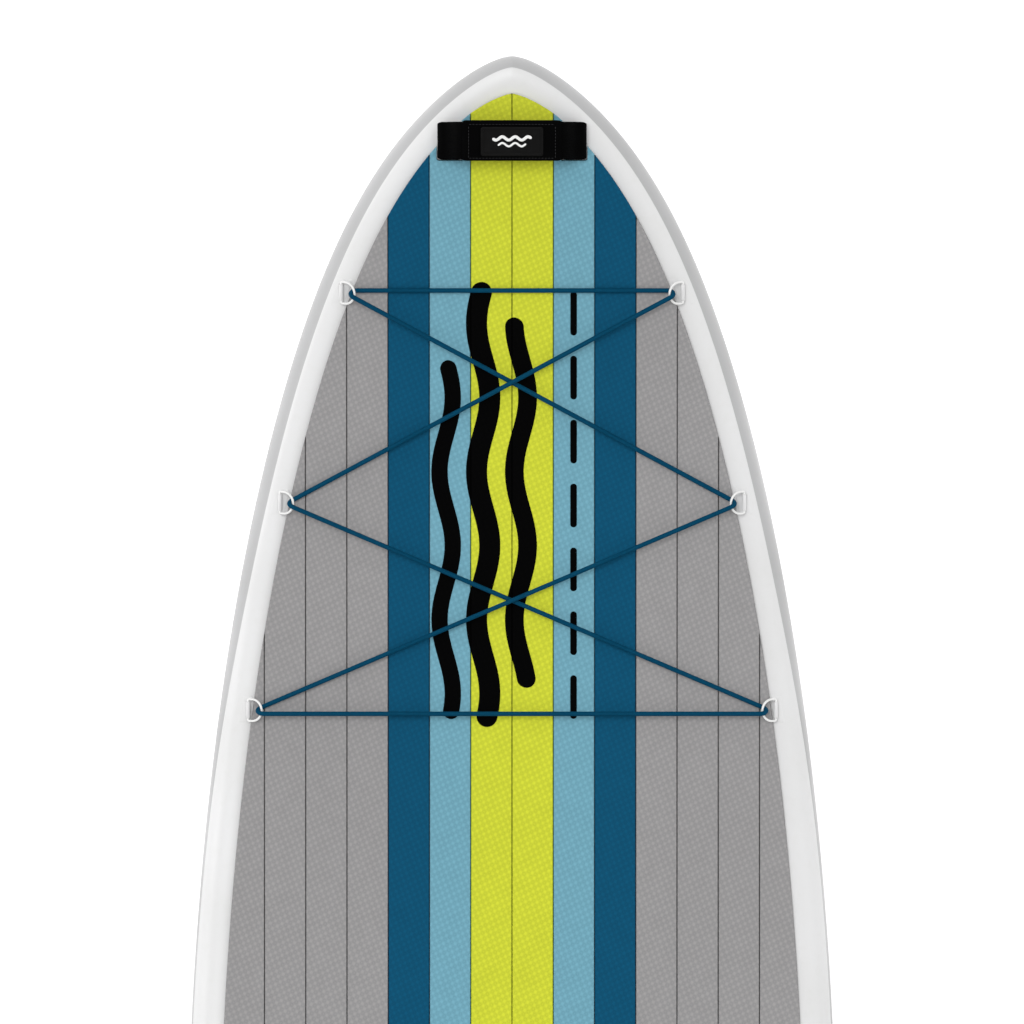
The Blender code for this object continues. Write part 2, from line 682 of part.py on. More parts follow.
def centre_handle(base, planks):
    half = CENTRE_HANDLE_HALF
    place = on_deck(0.0, 0.0, turn=math.pi / 2)
    carry_handle("centre_handle", half, place)
    margin = CENTRE_PATCH_MARGIN
    patch = rounded(half + margin, WEBBING / 2 + margin / 2, CENTRE_PATCH_ROUND, 2)
    white = material("white_pvc", WHITE, 0.45)
    plate("centre_handle_patch", patch, PATCH_GAP, PATCH_GAP + PATCH_THICK, white, place)
    hole = rounded(half + CENTRE_POCKET_X, WEBBING / 2 + CENTRE_POCKET_Y, CENTRE_POCKET_ROUND)
    pocket(base, [planks[f"plank_yellow_{word}"] for word in ("left", "right")], place, hole)


# D-rings and the bungee


def d_ring(name, look, place):
    """A D of round wire: its straight bar lies on local Y through the origin, its bow along local X."""
    points = [(0.0, -RING_HALF, 0.0), (0.0, RING_HALF, 0.0)]
    for step in range(9):
        angle = math.pi / 2 - math.pi * step / 8
        points.append((RING_ARM + RING_HALF * math.cos(angle), RING_HALF * math.sin(angle), 0.0))
    return tube(name, points, WIRE_R, True, look, place, resolution=1)


def ring_tab(name, look, place, height_at, lean=0.0, reach=PATCH_X):
    """A patch on the hull with the loop that holds a ring's bar.

    height_at(x, y) is the hull's face, lean slants the patch along the rail, and reach is how far
    it goes on the ring's side of the bar.
    """
    columns_x = [reach * i / 3 - PATCH_X * (3 - i) / 3 for i in range(4)]
    rows_y = [PATCH_Y * (i / 2 - 1) for i in range(5)]
    low = [[(x + lean * y, y, height_at(x + lean * y, y)) for y in rows_y] for x in columns_x]
    high = [[(x, y, z + PATCH_THICK) for x, y, z in row] for row in reversed(low)]
    columns = low + high
    count = len(low)
    polygons = between(columns)
    for i in range(count - 1):
        for j in (0, -1):
            near, far = columns[i], columns[i + 1]
            above, beyond = columns[-1 - i], columns[-2 - i]
            polygons.append((near[j], far[j], beyond[j], above[j]))
    patch = solid(name, polygons, look, place)
    bore = circle(TAB_BORE_R, 12, math.pi / 12)
    foot = -(BAR_HEIGHT - PATCH_GAP - PATCH_THICK / 2)
    loop = []
    for x, z in circle(1.0, 12, math.pi / 12):
        loop.append((TAB_R * x, TAB_R * z) if z > 0 else (TAB_R * x, foot if z < -0.5 else z * 0.003))
    walls = extruded((loop, bore), -TAB_HALF, TAB_HALF, lambda u, v, w: (u, w, v))
    tab = helper(solid(f"{name}_loop", walls, look, place))
    boolean(patch, tab, "UNION")
    return patch


def ring_tilt(bar):
    """How far a ring is held up at rest by the cord under its bow."""
    deck = MID + THICKNESS / 2 + rocker(bar.y)
    bow = deck + PAD_TOP + CORD_CLEAR + CORD_R + WRAP_R
    return math.asin((bow - bar.z) / RING_DEPTH)


def ring_bars():
    """The places of the six bars: (word, side, centre)."""
    bars = []
    for word, (station, x) in zip(("front", "middle", "rear"), RING_STATIONS):
        for side, hand in ((-1, "left"), (1, "right")):
            y = NOSE_Y - station
            bars.append((f"{word}_{hand}", side, Vector((side * x, y, deck_height(x, y) + BAR_HEIGHT))))
    return bars


def bar_frame(side, centre):
    """A bar's frame: X points inboard and level, Y runs along the bar and Z is up."""
    pitch = Matrix.Rotation(slope(centre.y), 4, "X")
    turn = Matrix.Rotation(math.pi if side > 0 else 0.0, 4, "Z")
    return Matrix.Translation(centre) @ pitch @ turn


def deck_rings():
    white = material("white_nylon", WHITE, 0.35)
    pvc = material("white_pvc", WHITE, 0.45)
    for word, side, centre in ring_bars():
        place = bar_frame(side, centre)
        tilt = Matrix.Rotation(-ring_tilt(centre), 4, "Y")
        d_ring(f"d_ring_{word}", white, place @ tilt)

        def height_at(x, y, place=place):
            point = place @ Vector((x, y, 0.0))
            level = deck_height(point.x, point.y) + PATCH_GAP
            return (level - point.z) / place[2][2]

        lean = edge_lean(centre.y)
        reach = (RAIL_REACH - edge_inset(centre.x, centre.y)) * math.hypot(1, lean) - PATCH_CLEAR
        ring_tab(f"d_ring_patch_{word}", pvc, place, height_at, -side * lean, min(reach, PATCH_X))


def wrap(side, centre):
    """The cord's points round a ring's bow: under it, up outboard of it, and back over it."""
    place = bar_frame(side, centre)
    tilt = ring_tilt(centre)
    along = -side  # local Y points to the tail on the right side
    points = []
    for step in range(9):
        angle = math.radians(-95 - 170 * step / 8)
        sway = CORD_SPREAD * (1 - step / 4) * along
        bow = RING_ARM + math.sqrt(RING_HALF**2 - sway**2)
        x = bow * math.cos(tilt) + WRAP_R * math.cos(angle)
        z = bow * math.sin(tilt) + WRAP_R * math.sin(angle)
        points.append(place @ Vector((x, sway, z)))
    return points


def crossing(start, end, lift):
    """Points of a strand that passes over or under another one on the centreline."""
    middle = start.lerp(end, start.x / (start.x - end.x))
    along = (end - start).normalized()
    points = []
    rise = ((-0.05, 0.0), (-0.02, 0.75), (-0.006, 1.0), (0.006, 1.0), (0.02, 0.75), (0.05, 0.0))
    for reach, share in rise:
        points.append(middle + along * reach + Vector((0.0, 0.0, lift * share)))
    return points


def bungee():
    """One closed cord laced round the six rings, passing under then over each ring's bow."""
    bars = {word: (side, centre) for word, side, centre in ring_bars()}
    turns = {word: wrap(*bar) for word, bar in bars.items()}
    half = CORD_R + GAP / 2
    route = list(turns["front_right"])  # comes in from the left, leaves to the tail
    for word, lift, backwards in (
        ("middle_left", half, False),
        ("rear_right", -half, False),
        ("rear_left", 0.0, True),
        ("middle_right", half, True),
        ("front_left", -half, True),
    ):
        loop = turns[word][::-1] if backwards else turns[word]
        if lift:
            route += crossing(route[-1], loop[0], lift)
        route += loop
    return tube("bungee_cord", route, CORD_R, True, material("blue_cord", DARK_BLUE, 0.7))


def end_rings():
    """The leash ring on the tail, lying back, and the towing ring hanging under the nose."""
    steel = material("stainless_steel", STEEL, 0.3, 1.0)
    pvc = material("white_pvc", WHITE, 0.45)
    y = NOSE_Y - LEASH_STATION
    leash = on_deck(0.0, y, BAR_HEIGHT, -math.pi / 2)
    rest = Matrix.Rotation(LEASH_DROOP, 4, "Y")
    d_ring("leash_ring", steel, leash @ rest)
    ring_tab("leash_ring_patch", pvc, leash, lambda x, y: PATCH_GAP - BAR_HEIGHT)
    y = NOSE_Y - TOW_STATION
    pitch = slope(y)
    down = Vector((0.0, math.sin(pitch), -math.cos(pitch)))
    under = Vector((0.0, y, MID - THICKNESS / 2 + rocker(y))) + down * BAR_HEIGHT
    turn = Matrix.Rotation(math.pi / 2, 4, "Z")
    tow = Matrix.Translation(under) @ Matrix.Rotation(math.pi + pitch, 4, "X") @ turn
    hang = Matrix.Translation(under) @ turn @ Matrix.Rotation(math.pi / 2, 4, "Y")
    d_ring("tow_ring", steel, hang)
    ring_tab("tow_ring_patch", pvc, tow, lambda x, y: PATCH_GAP - BAR_HEIGHT)


# Inflation valve


def valve_body(place, look):
    """The flanged barrel with its cup and seat, and the hub that guides the stem on three spokes."""
    profile = [
        (FLANGE_R, FLANGE_BASE), (FLANGE_R, FLANGE_SHOULDER), (FLANGE_R - FLANGE_BEVEL, FLANGE_TOP),
        (CUP_R, FLANGE_TOP), (CUP_R, SEAT_TOP), (SEAT_R, SEAT_TOP), (SEAT_R, SEAT_BOTTOM),
        (CHAMBER_R, SEAT_BOTTOM), (CHAMBER_R, BARREL_END), (NECK_R, BARREL_END), (NECK_R, NECK_TOP),
        (BARREL_R, NECK_TOP), (BARREL_R, FLANGE_BASE),
    ]
    body = turned("valve_body", profile, 24, look, place)
    end = SEAT_TOP + PATCH_GAP
    hub = [(HUB_BORE_R, CUP_FLOOR), (HUB_BORE_R, end), (HUB_R, end), (HUB_R, CUP_FLOOR)]
    boolean(body, helper(turned("valve_hub", hub, 12, look, place)), "UNION")
    low = (HUB_R - SPOKE_BITE, -SPOKE_HALF, SPOKE_TOP - SPOKE_DEPTH)
    high = (CUP_R + SPOKE_BITE, SPOKE_HALF, SPOKE_TOP)
    for i in range(3):
        turn = Matrix.Rotation(2 * math.pi * i / 3 + SPOKE_TURN, 4, "Z")
        boolean(body, helper(solid(f"valve_spoke_{i}", block(low, high), look, place @ turn)), "UNION")


def valve_plunger(place, look, rubber, steel):
    """The sprung stem: its button over the hub and its poppet with the seal under the seat."""
    poppet = SEAT_BOTTOM - SEAL_THICK - 2 * GAP
    stem = [
        (0.0, BUTTON_TOP), (BUTTON_R - BUTTON_BEVEL, BUTTON_TOP), (BUTTON_R, BUTTON_TOP - BUTTON_BEVEL),
        (BUTTON_R, BUTTON_UNDER), (ROD_R, BUTTON_UNDER), (ROD_R, poppet), (POPPET_R, poppet),
        (POPPET_R, poppet - POPPET_THICK), (POPPET_BEVEL_R, poppet - POPPET_THICK - POPPET_BEVEL),
        (0.0, poppet - POPPET_THICK - POPPET_BEVEL),
    ]
    turned("valve_stem", stem, 16, look, place)
    inner, low, high = SEAT_R + SEAL_FIT, poppet + GAP, poppet + GAP + SEAL_THICK
    turned("valve_seal", [(inner, low), (SEAL_R, low), (SEAL_R, high), (inner, high)], 16, rubber, place)
    low, high = CUP_FLOOR + SPRING_WIRE_R + GAP, BUTTON_UNDER - SPRING_WIRE_R - GAP
    steps = SPRING_TURNS * SPRING_SIDES
    coil = []
    for i in range(steps + 1):
        angle = 2 * math.pi / SPRING_SIDES * i
        height = low + (high - low) * i / steps
        coil.append((SPRING_R * math.cos(angle), SPRING_R * math.sin(angle), height))
    tube("valve_spring", coil, SPRING_WIRE_R, False, steel, place, resolution=0)


def valve_cap(place, look, rubber):
    """The screw cap with its grip bar and skirt, on its flat seal."""
    low = FLANGE_TOP + GAP
    high = low + CAP_SEAL_THICK
    seal = [(CAP_SEAL_IN, low), (CAP_SEAL_OUT, low), (CAP_SEAL_OUT, high), (CAP_SEAL_IN, high)]
    turned("valve_cap_seal", seal, 20, rubber, place)
    under = high + GAP
    profile = [
        (0.0, under), (CAP_SKIRT_IN, under), (CAP_SKIRT_IN, CAP_SKIRT_END), (CAP_SKIRT_OUT, CAP_SKIRT_END),
        (CAP_SKIRT_OUT, under), (CAP_R, under), (CAP_R, under + CAP_SHOULDER),
        (CAP_BEVEL_R, under + CAP_THICK), (0.0, under + CAP_THICK),
    ]
    cap = turned("valve_cap", profile, 24, look, place)
    grip = block((-GRIP_X, -GRIP_Y, under + GRIP_LOW), (GRIP_X, GRIP_Y, under + GRIP_HIGH))
    boolean(cap, helper(solid("valve_grip", grip, look, place)), "UNION")


def valve(deck, core):
    place = on_deck(0.0, NOSE_Y - VALVE_STATION)
    white = material("white_plastic", WHITE, 0.4)
    rubber = material("black_rubber", BLACK, 0.5)
    cutter = material("cutter", GREY, 1.0)
    deck_hole = helper(plate("valve_hole", circle(DECK_HOLE_R, 24), -0.02, 0.02, cutter, place))
    core_hole = helper(plate("core_hole", circle(CORE_HOLE_R, 16), -0.03, 0.02, cutter, place))
    boolean(deck, deck_hole, "DIFFERENCE")
    boolean(core, core_hole, "DIFFERENCE")
    valve_body(place, white)
    nut = [
        (NUT_BORE_R, NUT_TOP), (NUT_R, NUT_TOP), (NUT_R, NUT_BEVEL), (NUT_BEVEL_R, NUT_END),
        (NUT_BORE_R, NUT_END),
    ]
    turned("valve_nut", nut, 16, white, place)
    valve_plunger(place, white, rubber, material("stainless_steel", STEEL, 0.3, 1.0))
    valve_cap(place, white, rubber)


# Fins


def blade(name, root_front, root_rear, tip_rear, depth, thick, look, place, top=0.0, steps=7):
    """A swept fin: an upright lens section that shrinks and moves back towards the tip."""
    rows = []
    for step in range(steps + 1):
        share = step / steps
        z = top - (depth + top) * share
        front = root_front + (tip_rear + TIP_CHORD - root_front) * share**FRONT_SWEEP
        rear = root_rear + (tip_rear - root_rear) * share**REAR_SWEEP
        half = thick / 2 * (1 - TIP_THIN * share)
        chord = [(half * w, front + (rear - front) * m, z) for m, w in SECTION]
        rows.append(chord + [(-x, y, z) for x, y, z in reversed(chord[1:-1])])
    polygons = []
    for above, below in zip(rows, rows[1:]):
        for i in range(len(above)):
            j = (i + 1) % len(above)
            polygons.append((above[i], above[j], below[j], below[i]))
    polygons += [tuple(rows[0]), tuple(rows[-1])]
    return solid(name, polygons, look, place)


def fin_box(place, look):
    """The glued plate and ridge with the long slot and its side grooves."""
    low = -BOX_HEIGHT - BOX_GAP
    plate_low = -BOX_PLATE_THICK - BOX_GAP
    outline_points = rounded(BOX_PLATE_X, BOX_PLATE_Y, BOX_PLATE_ROUND)
    box = plate("fin_box", outline_points, plate_low, -BOX_GAP, look, place)
    outline_points = rounded(BOX_RIDGE_X, BOX_RIDGE_Y, BOX_RIDGE_ROUND)
    ridge = plate("fin_box_ridge", outline_points, low, BOX_RIDGE_TOP, look, place)
    slot = block((-SLOT_X, -SLOT_Y, low - 0.01), (SLOT_X, SLOT_Y, plate_low))
    groove = block((-GROOVE_X, -SLOT_Y, GROOVE_LOW), (GROOVE_X, SLOT_Y, GROOVE_HIGH))
    boolean(box, helper(ridge), "UNION")
    boolean(box, helper(solid("fin_slot", slot, look, place)), "DIFFERENCE")
    boolean(box, helper(solid("fin_groove", groove, look, place)), "DIFFERENCE")


def centre_fin(place, look, steel):
    """The fin with its tongue, pin and screw tab, and the nut plate and screw that hold it."""
    low = -BOX_HEIGHT - BOX_GAP
    depth = FIN_DEPTH - low
    fin = blade("centre_fin", FIN_FRONT, FIN_REAR, FIN_TIP, depth, FIN_THICK, look, place, low + FIN_BITE)
    tongue = block((-TONGUE_X, TONGUE_REAR, low - TONGUE_GAP), (TONGUE_X, TONGUE_FRONT, TONGUE_TOP))
    tab = block((-TONGUE_X, TAB_REAR, TAB_LOW), (TONGUE_X, TAB_FRONT, TAB_HIGH))
    for number, piece in enumerate((tongue, tab)):
        boolean(fin, helper(solid(f"fin_root_{number}", piece, look, place)), "UNION")
    across = Matrix.Translation((0.0, PIN_Y, PIN_Z)) @ Matrix.Rotation(math.pi / 2, 4, "Y")
    pin = plate("fin_pin", circle(PIN_R, 8), -PIN_HALF, PIN_HALF, look, place @ across)
    boolean(fin, helper(pin), "UNION")
    spot = place @ Matrix.Translation((0.0, SCREW_Y, 0.0))
    hole = helper(plate("fin_hole", circle(SCREW_HOLE_R, 12), -0.03, 0.0, look, spot))
    boolean(fin, hole, "DIFFERENCE")
    low, high = (-NUT_PLATE_X, -NUT_PLATE_Y, NUT_PLATE_LOW), (NUT_PLATE_X, NUT_PLATE_Y, NUT_PLATE_HIGH)
    nut = solid("fin_nut_plate", block(low, high), steel, spot)
    boolean(nut, hole, "DIFFERENCE")
    screw = [
        (0.0, SCREW_END), (SCREW_R, SCREW_END), (SCREW_R, HEAD_TOP), (HEAD_R, HEAD_TOP), (HEAD_R, HEAD_EDGE),
        (HEAD_BEVEL_R, HEAD_END), (HEX_R, HEAD_END), (HEX_R, HEAD_EDGE), (0.0, HEAD_EDGE),
    ]
    turned("fin_screw", screw, 12, steel, spot)


def side_fins(look):
    foot_outline = rounded(SIDE_FOOT_X, SIDE_FOOT_Y, SIDE_FOOT_ROUND)
    sizes = (SIDE_FIN_FRONT, SIDE_FIN_REAR, SIDE_FIN_TIP, SIDE_FIN_DEPTH, SIDE_FIN_THICK)
    for side, word in ((-1, "left"), (1, "right")):
        lean = Matrix.Rotation(-SIDE_FIN_LEAN * side, 4, "Y")
        spot = Matrix.Translation((side * SIDE_FIN_X, NOSE_Y - SIDE_FIN_STATION, HULL_BOTTOM))
        foot = plate(f"side_fin_{word}", foot_outline, -SIDE_FOOT_THICK - BOX_GAP, -BOX_GAP, look, spot)
        small = blade(f"side_fin_blade_{word}", *sizes, look, spot @ lean, -SIDE_FIN_BITE)
        boolean(foot, helper(small), "UNION")


def fins():
    black = material("black_nylon", BLACK, 0.45)
    place = Matrix.Translation((0.0, NOSE_Y - FIN_STATION, HULL_BOTTOM))
    fin_box(place, black)
    centre_fin(place, black, material("stainless_steel", STEEL, 0.3, 1.0))
    side_fins(black)


def main():
    for item in list(bpy.data.objects):
        bpy.data.objects.remove(item, do_unlink=True)
    deck = hull_shell()
    core = drop_stitch_core()
    base, planks = deck_pad()
    front_handle(base, planks)
    centre_handle(base, planks)
    deck_rings()
    bungee()
    end_rings()
    valve(deck, core)
    fins()


main()
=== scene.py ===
"""The looks of the stand up paddleboard: fine surfaces, foam, cord, webbing and their materials.

+Y points to the nose, +X to the right, +Z up. Lengths are in metres and angles in radians.
"""

import json
import math

import bmesh
import bpy
import numpy as np
from mathutils import Matrix, Vector


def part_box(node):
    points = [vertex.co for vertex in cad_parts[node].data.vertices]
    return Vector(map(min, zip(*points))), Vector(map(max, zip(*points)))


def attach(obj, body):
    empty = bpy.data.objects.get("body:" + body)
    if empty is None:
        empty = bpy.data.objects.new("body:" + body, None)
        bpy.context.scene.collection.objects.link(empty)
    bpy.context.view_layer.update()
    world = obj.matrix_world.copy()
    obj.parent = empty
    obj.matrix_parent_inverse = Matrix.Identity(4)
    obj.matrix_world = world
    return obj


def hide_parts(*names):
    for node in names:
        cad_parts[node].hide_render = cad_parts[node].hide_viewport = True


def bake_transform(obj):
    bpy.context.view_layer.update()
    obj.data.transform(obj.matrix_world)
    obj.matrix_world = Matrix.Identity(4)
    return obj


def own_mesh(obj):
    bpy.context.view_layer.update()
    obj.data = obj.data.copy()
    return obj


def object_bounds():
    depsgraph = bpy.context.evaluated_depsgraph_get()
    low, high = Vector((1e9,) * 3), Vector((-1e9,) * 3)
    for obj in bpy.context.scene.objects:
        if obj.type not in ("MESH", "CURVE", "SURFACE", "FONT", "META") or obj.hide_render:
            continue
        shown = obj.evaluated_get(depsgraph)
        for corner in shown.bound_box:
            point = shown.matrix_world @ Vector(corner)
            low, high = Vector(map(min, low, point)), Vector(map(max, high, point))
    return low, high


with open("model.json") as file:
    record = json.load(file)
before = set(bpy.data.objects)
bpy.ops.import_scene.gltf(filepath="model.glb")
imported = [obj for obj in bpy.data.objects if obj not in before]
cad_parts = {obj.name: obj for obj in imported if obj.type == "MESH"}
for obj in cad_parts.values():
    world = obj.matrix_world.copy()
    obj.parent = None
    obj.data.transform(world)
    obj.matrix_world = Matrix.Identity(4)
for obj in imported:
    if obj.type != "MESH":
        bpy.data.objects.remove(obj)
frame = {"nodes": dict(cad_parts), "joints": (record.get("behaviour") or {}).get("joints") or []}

CAD_LOW, CAD_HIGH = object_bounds()

# Hull, as the CAD shapes it
LENGTH = CAD_HIGH.y - CAD_LOW.y
WIDTH = CAD_HIGH.x - CAD_LOW.x
NOSE_Y = CAD_HIGH.y
THICKNESS = 0.152
FRONT_RUN = 1.5
NOSE_FULLNESS, NOSE_FADE = 0.1, 0.07
TAIL_POWER = 2.6
RAIL_REACH, RAIL_POWER = 0.0425, 3.0
NOSE_LIFT, NOSE_LIFT_RUN = 0.17, 1.25
TAIL_LIFT, TAIL_LIFT_RUN = 0.03, 0.45
SKIN, GAP = 0.0012, 0.0003
LAP = SKIN + GAP
LAP_DIP = 0.001
SEAM_FRONT, SEAM_REAR = 0.016, 0.0035
SEAM_TURN, SEAM_TURN_RUN = 0.80, 0.09
BOTTOM_SEAM = math.radians(40)
RAIL_RISE = THICKNESS / 2 - LAP
HULL_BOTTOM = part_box("bottom_skin")[0].z
MID = HULL_BOTTOM + THICKNESS / 2
DECK = MID + THICKNESS / 2
FINE = np.concatenate([np.linspace(0, 1, 181)[:-1], np.linspace(1, 2, 141)])

# Deck pad
PAD_BASE, PLANK = 0.002, 0.004
PLANK_PITCH = 0.053
GROOVE, SLIT, GROOVE_DEPTH = 0.0024, 0.0006, 0.0018
PAD_END = 2.93
TIP_BLUNT = 0.006  # how much blunter the pad's tip is than in the CAD, as the photograph shows
BASE_TOP = GAP + PAD_BASE
PAD_TOP = BASE_TOP + GAP + PLANK
POCKET_CLEAR = 0.0012
CUT_LOW, CUT_HIGH = -0.004, 0.02  # how deep and how high a pocket's cutter reaches
PLANK_COLOURS = ("yellow", "light_blue", "dark_blue", "grey_1", "grey_2", "grey_3", "grey_4")

# Printed bands: a wave's place across, half width, rear end and front end; then the dashes
PRINT_LOW, PRINT_HIGH = PAD_TOP + 0.0001, PAD_TOP + 0.0003
PRINT_WAVES = (
    (-0.0845, 0.0105, 0.775, 1.235),
    (-0.0370, 0.0135, 0.765, 1.335),
    (0.0115, 0.0120, 0.815, 1.290),
)
WAVE_SWAY, WAVE_LONG = 0.0085, 0.19
DASHES, DASH_X, DASH_HALF, DASH_LONG, DASH_PITCH, DASH_START = 7, 0.079, 0.0042, 0.056, 0.082, 0.775

# D-rings and the bungee
WIRE_R = 0.0015
RING_HALF, RING_ARM = 0.014, 0.006
RING_DEPTH = RING_HALF + RING_ARM
RING_CORNER = 0.0022
PATCH_X, PATCH_Y, PATCH_THICK, PATCH_GAP, PATCH_CLEAR = 0.0095, 0.017, 0.0012, 0.0005, 0.0012
BAR_HEIGHT = PATCH_GAP + PATCH_THICK + 0.0045
TAB_R, TAB_BORE_R, TAB_HALF = 0.0027, 0.0019, 0.0105
CORD_R = 0.003
WRAP_R = CORD_R + WIRE_R + 2 * GAP
CORD_SPREAD, CORD_CLEAR = 0.0036, 0.0013
CORD_STEP = 0.0015
CORD_FINE, CORD_SKIP = 0.06, 5  # the cord keeps all its points so near a bar, and one in five elsewhere
SEAM_APART = 60  # the fewest points between two seams of the cord
LEASH_DROOP = math.radians(12)
RING_WORDS = [f"{word}_{hand}" for word in ("front", "middle", "rear") for hand in ("left", "right")]

# Carry handles
WEBBING, WEBBING_THICK = 0.0495, 0.0022
FRONT_HANDLE_STATION, FRONT_HANDLE_HALF, CENTRE_HANDLE_HALF = 0.108, 0.0955, 0.112
FOOT_INSET = 0.0165
HANDLE_RISE = 0.038
SLEEVE_HALF, SLEEVE_Y, SLEEVE_Z, SLEEVE_ROUND = 0.0635, 0.0264, 0.0045, 0.0035
SLEEVE_BIND, SLEEVE_END_Z, SLEEVE_DRAW = 0.006, 0.0026, 0.0012  # a bound end's length, half height and draw
STITCH_PITCH, STITCH_LONG, STITCH_THICK = 0.0042, 0.0030, 0.00032
FOOT_HALF, MIDDLE_CLEAR_X, MIDDLE_CLEAR_Y = 0.0125, 0.016, 0.009
LEAN_FROM = 0.005  # above this the handle stands upright and not square to the deck
STRAP_FOLD, STRAP_CORNER = 0.0065, 0.007
BADGE_X, BADGE_Y, BADGE_THICK, BADGE_RIM = 0.040, 0.019, 0.0025, 0.0035
BADGE_LOW = HANDLE_RISE + SLEEVE_Z + GAP
BADGE_HIGH = HANDLE_RISE + SLEEVE_Z + BADGE_THICK
BADGE_FIELD = BADGE_HIGH - 0.0009
BADGE_SWAY, BADGE_WAVE = 0.0022, 0.0165

# Valve, turned about its own axis
VALVE_STATION = 3.03
FLANGE_R, BARREL_R, CUP_R, SEAT_R, CHAMBER_R = 0.032, 0.020, 0.016, 0.009, 0.015
FLANGE_TOP = 0.0048
CUP_FLOOR, SEAT_TOP, SEAT_BOTTOM, BARREL_END = -0.018, -0.022, -0.025, -0.042
HUB_R, HUB_BORE_R = 0.005, 0.0029
SPRING_R, SPRING_WIRE_R, SPRING_TURNS, SPRING_TOP = 0.0041, 0.0005, 5, -0.005
SEAL_LOW, SEAL_THICK = FLANGE_TOP + GAP, 0.0012
CAP_LOW = SEAL_LOW + SEAL_THICK + GAP
CAP_SIDES, CAP_RIBS = 144, 36
CAP_R, RIB_FROM, RIB_DEPTH = 0.0250, 0.0242, 0.008
SPOKE_TURN, SPOKE_HALF = 0.13, 0.00125

# Fins
FIN_STATION, FIN_DEPTH, BOX_HEIGHT, BOX_GAP = 2.66, 0.2286, 0.022, 0.0005
SIDE_FIN_STATION, SIDE_FIN_X, SIDE_FIN_DEPTH = 2.46, 0.19, 0.11
SIDE_FIN_LEAN = math.radians(6)
FIN_ROOT, FIN_TIP, FIN_THICK = (0.085, -0.080), -0.150, 0.009  # a root runs from its front to its rear
SIDE_FIN_ROOT, SIDE_FIN_TIP, SIDE_FIN_THICK = (0.058, -0.048), -0.075, 0.008
TIP_CHORD = 0.02
TONGUE_HALF = 0.0043
SCREW_Y, SCREW_HOLE_R = 0.092, 0.0026
PIN_Y, PIN_Z, PIN_R, PIN_HALF = -0.075, -0.0105, 0.0018, 0.0077

# The camera looks straight down on the front of the board
VIEW_SPAN, VIEW_AIM, LENS, SENSOR = 1.316, 0.5843, 1000.0, 36.0

# Soft lights: name, direction towards it, strength and softness in degrees
LIGHTS = (
    ("key", (-0.16, 0.20, 0.966), 1.34, 30),
    ("left_side", (-0.97, 0.08, 0.20), 0.80, 40),
    ("right_fill", (0.80, -0.10, 0.59), 0.50, 60),
)
WORLD = 0.58
FLOOR_HALF, FLOOR_GLOW = 9.0, 0.55

# The slanted lattice pressed into the foam: its two wave vectors, per metre
LATTICE = ((-136.2, -49.3, 0.0), (62.2, -122.4, 0.0))

# Colours, linear
BLACK = (0.0012, 0.0012, 0.0013)
STUDS = {
    "yellow": (0.555, 0.60, 0.038),
    "light_blue": (0.152, 0.350, 0.442),
    "dark_blue": (0.002, 0.072, 0.148),
    "grey": (0.292, 0.286, 0.288),
}

SHARP = 38.0  # degrees between two faces that keep an edge between them


def link(name, data):
    made = bpy.data.objects.new(name, data)
    bpy.context.scene.collection.objects.link(made)
    return made


# Camera, light and floor


def stage():
    scene = bpy.context.scene
    scene.view_settings.view_transform = "Standard"
    data = bpy.data.cameras.new("camera")
    data.sensor_width = SENSOR
    data.lens = LENS
    camera = link("camera", data)
    rise = LENS / SENSOR * VIEW_SPAN
    camera.location = (0.0, NOSE_Y - VIEW_AIM, DECK + rise)
    data.clip_start, data.clip_end = 0.1, 4 * rise
    scene.camera = camera

    for name, towards, energy, softness in LIGHTS:
        sun = bpy.data.lights.new(name, "SUN")
        sun.energy = energy
        sun.angle = math.radians(softness)
        link(name, sun).rotation_euler = Vector(towards).to_track_quat("Z", "Y").to_euler()

    world = bpy.data.worlds.new("studio")
    world.use_nodes = True
    sky = world.node_tree.nodes["Background"].inputs
    sky["Color"].default_value = (1, 1, 1, 1)
    sky["Strength"].default_value = WORLD
    scene.world = world

    mesh = bpy.data.meshes.new("floor")
    corners = [(FLOOR_HALF * x, FLOOR_HALF * y, 0) for x, y in ((-1, -1), (1, -1), (1, 1), (-1, 1))]
    mesh.from_pydata(corners, [], [(0, 1, 2, 3)])
    pale = Look("floor_pale", (0.62, 0.62, 0.62), 0.9)
    pale.set(Emission_Color=(1, 1, 1, 1), Emission_Strength=FLOOR_GLOW)
    mesh.materials.append(pale.material)
    link("floor", mesh)


# Materials


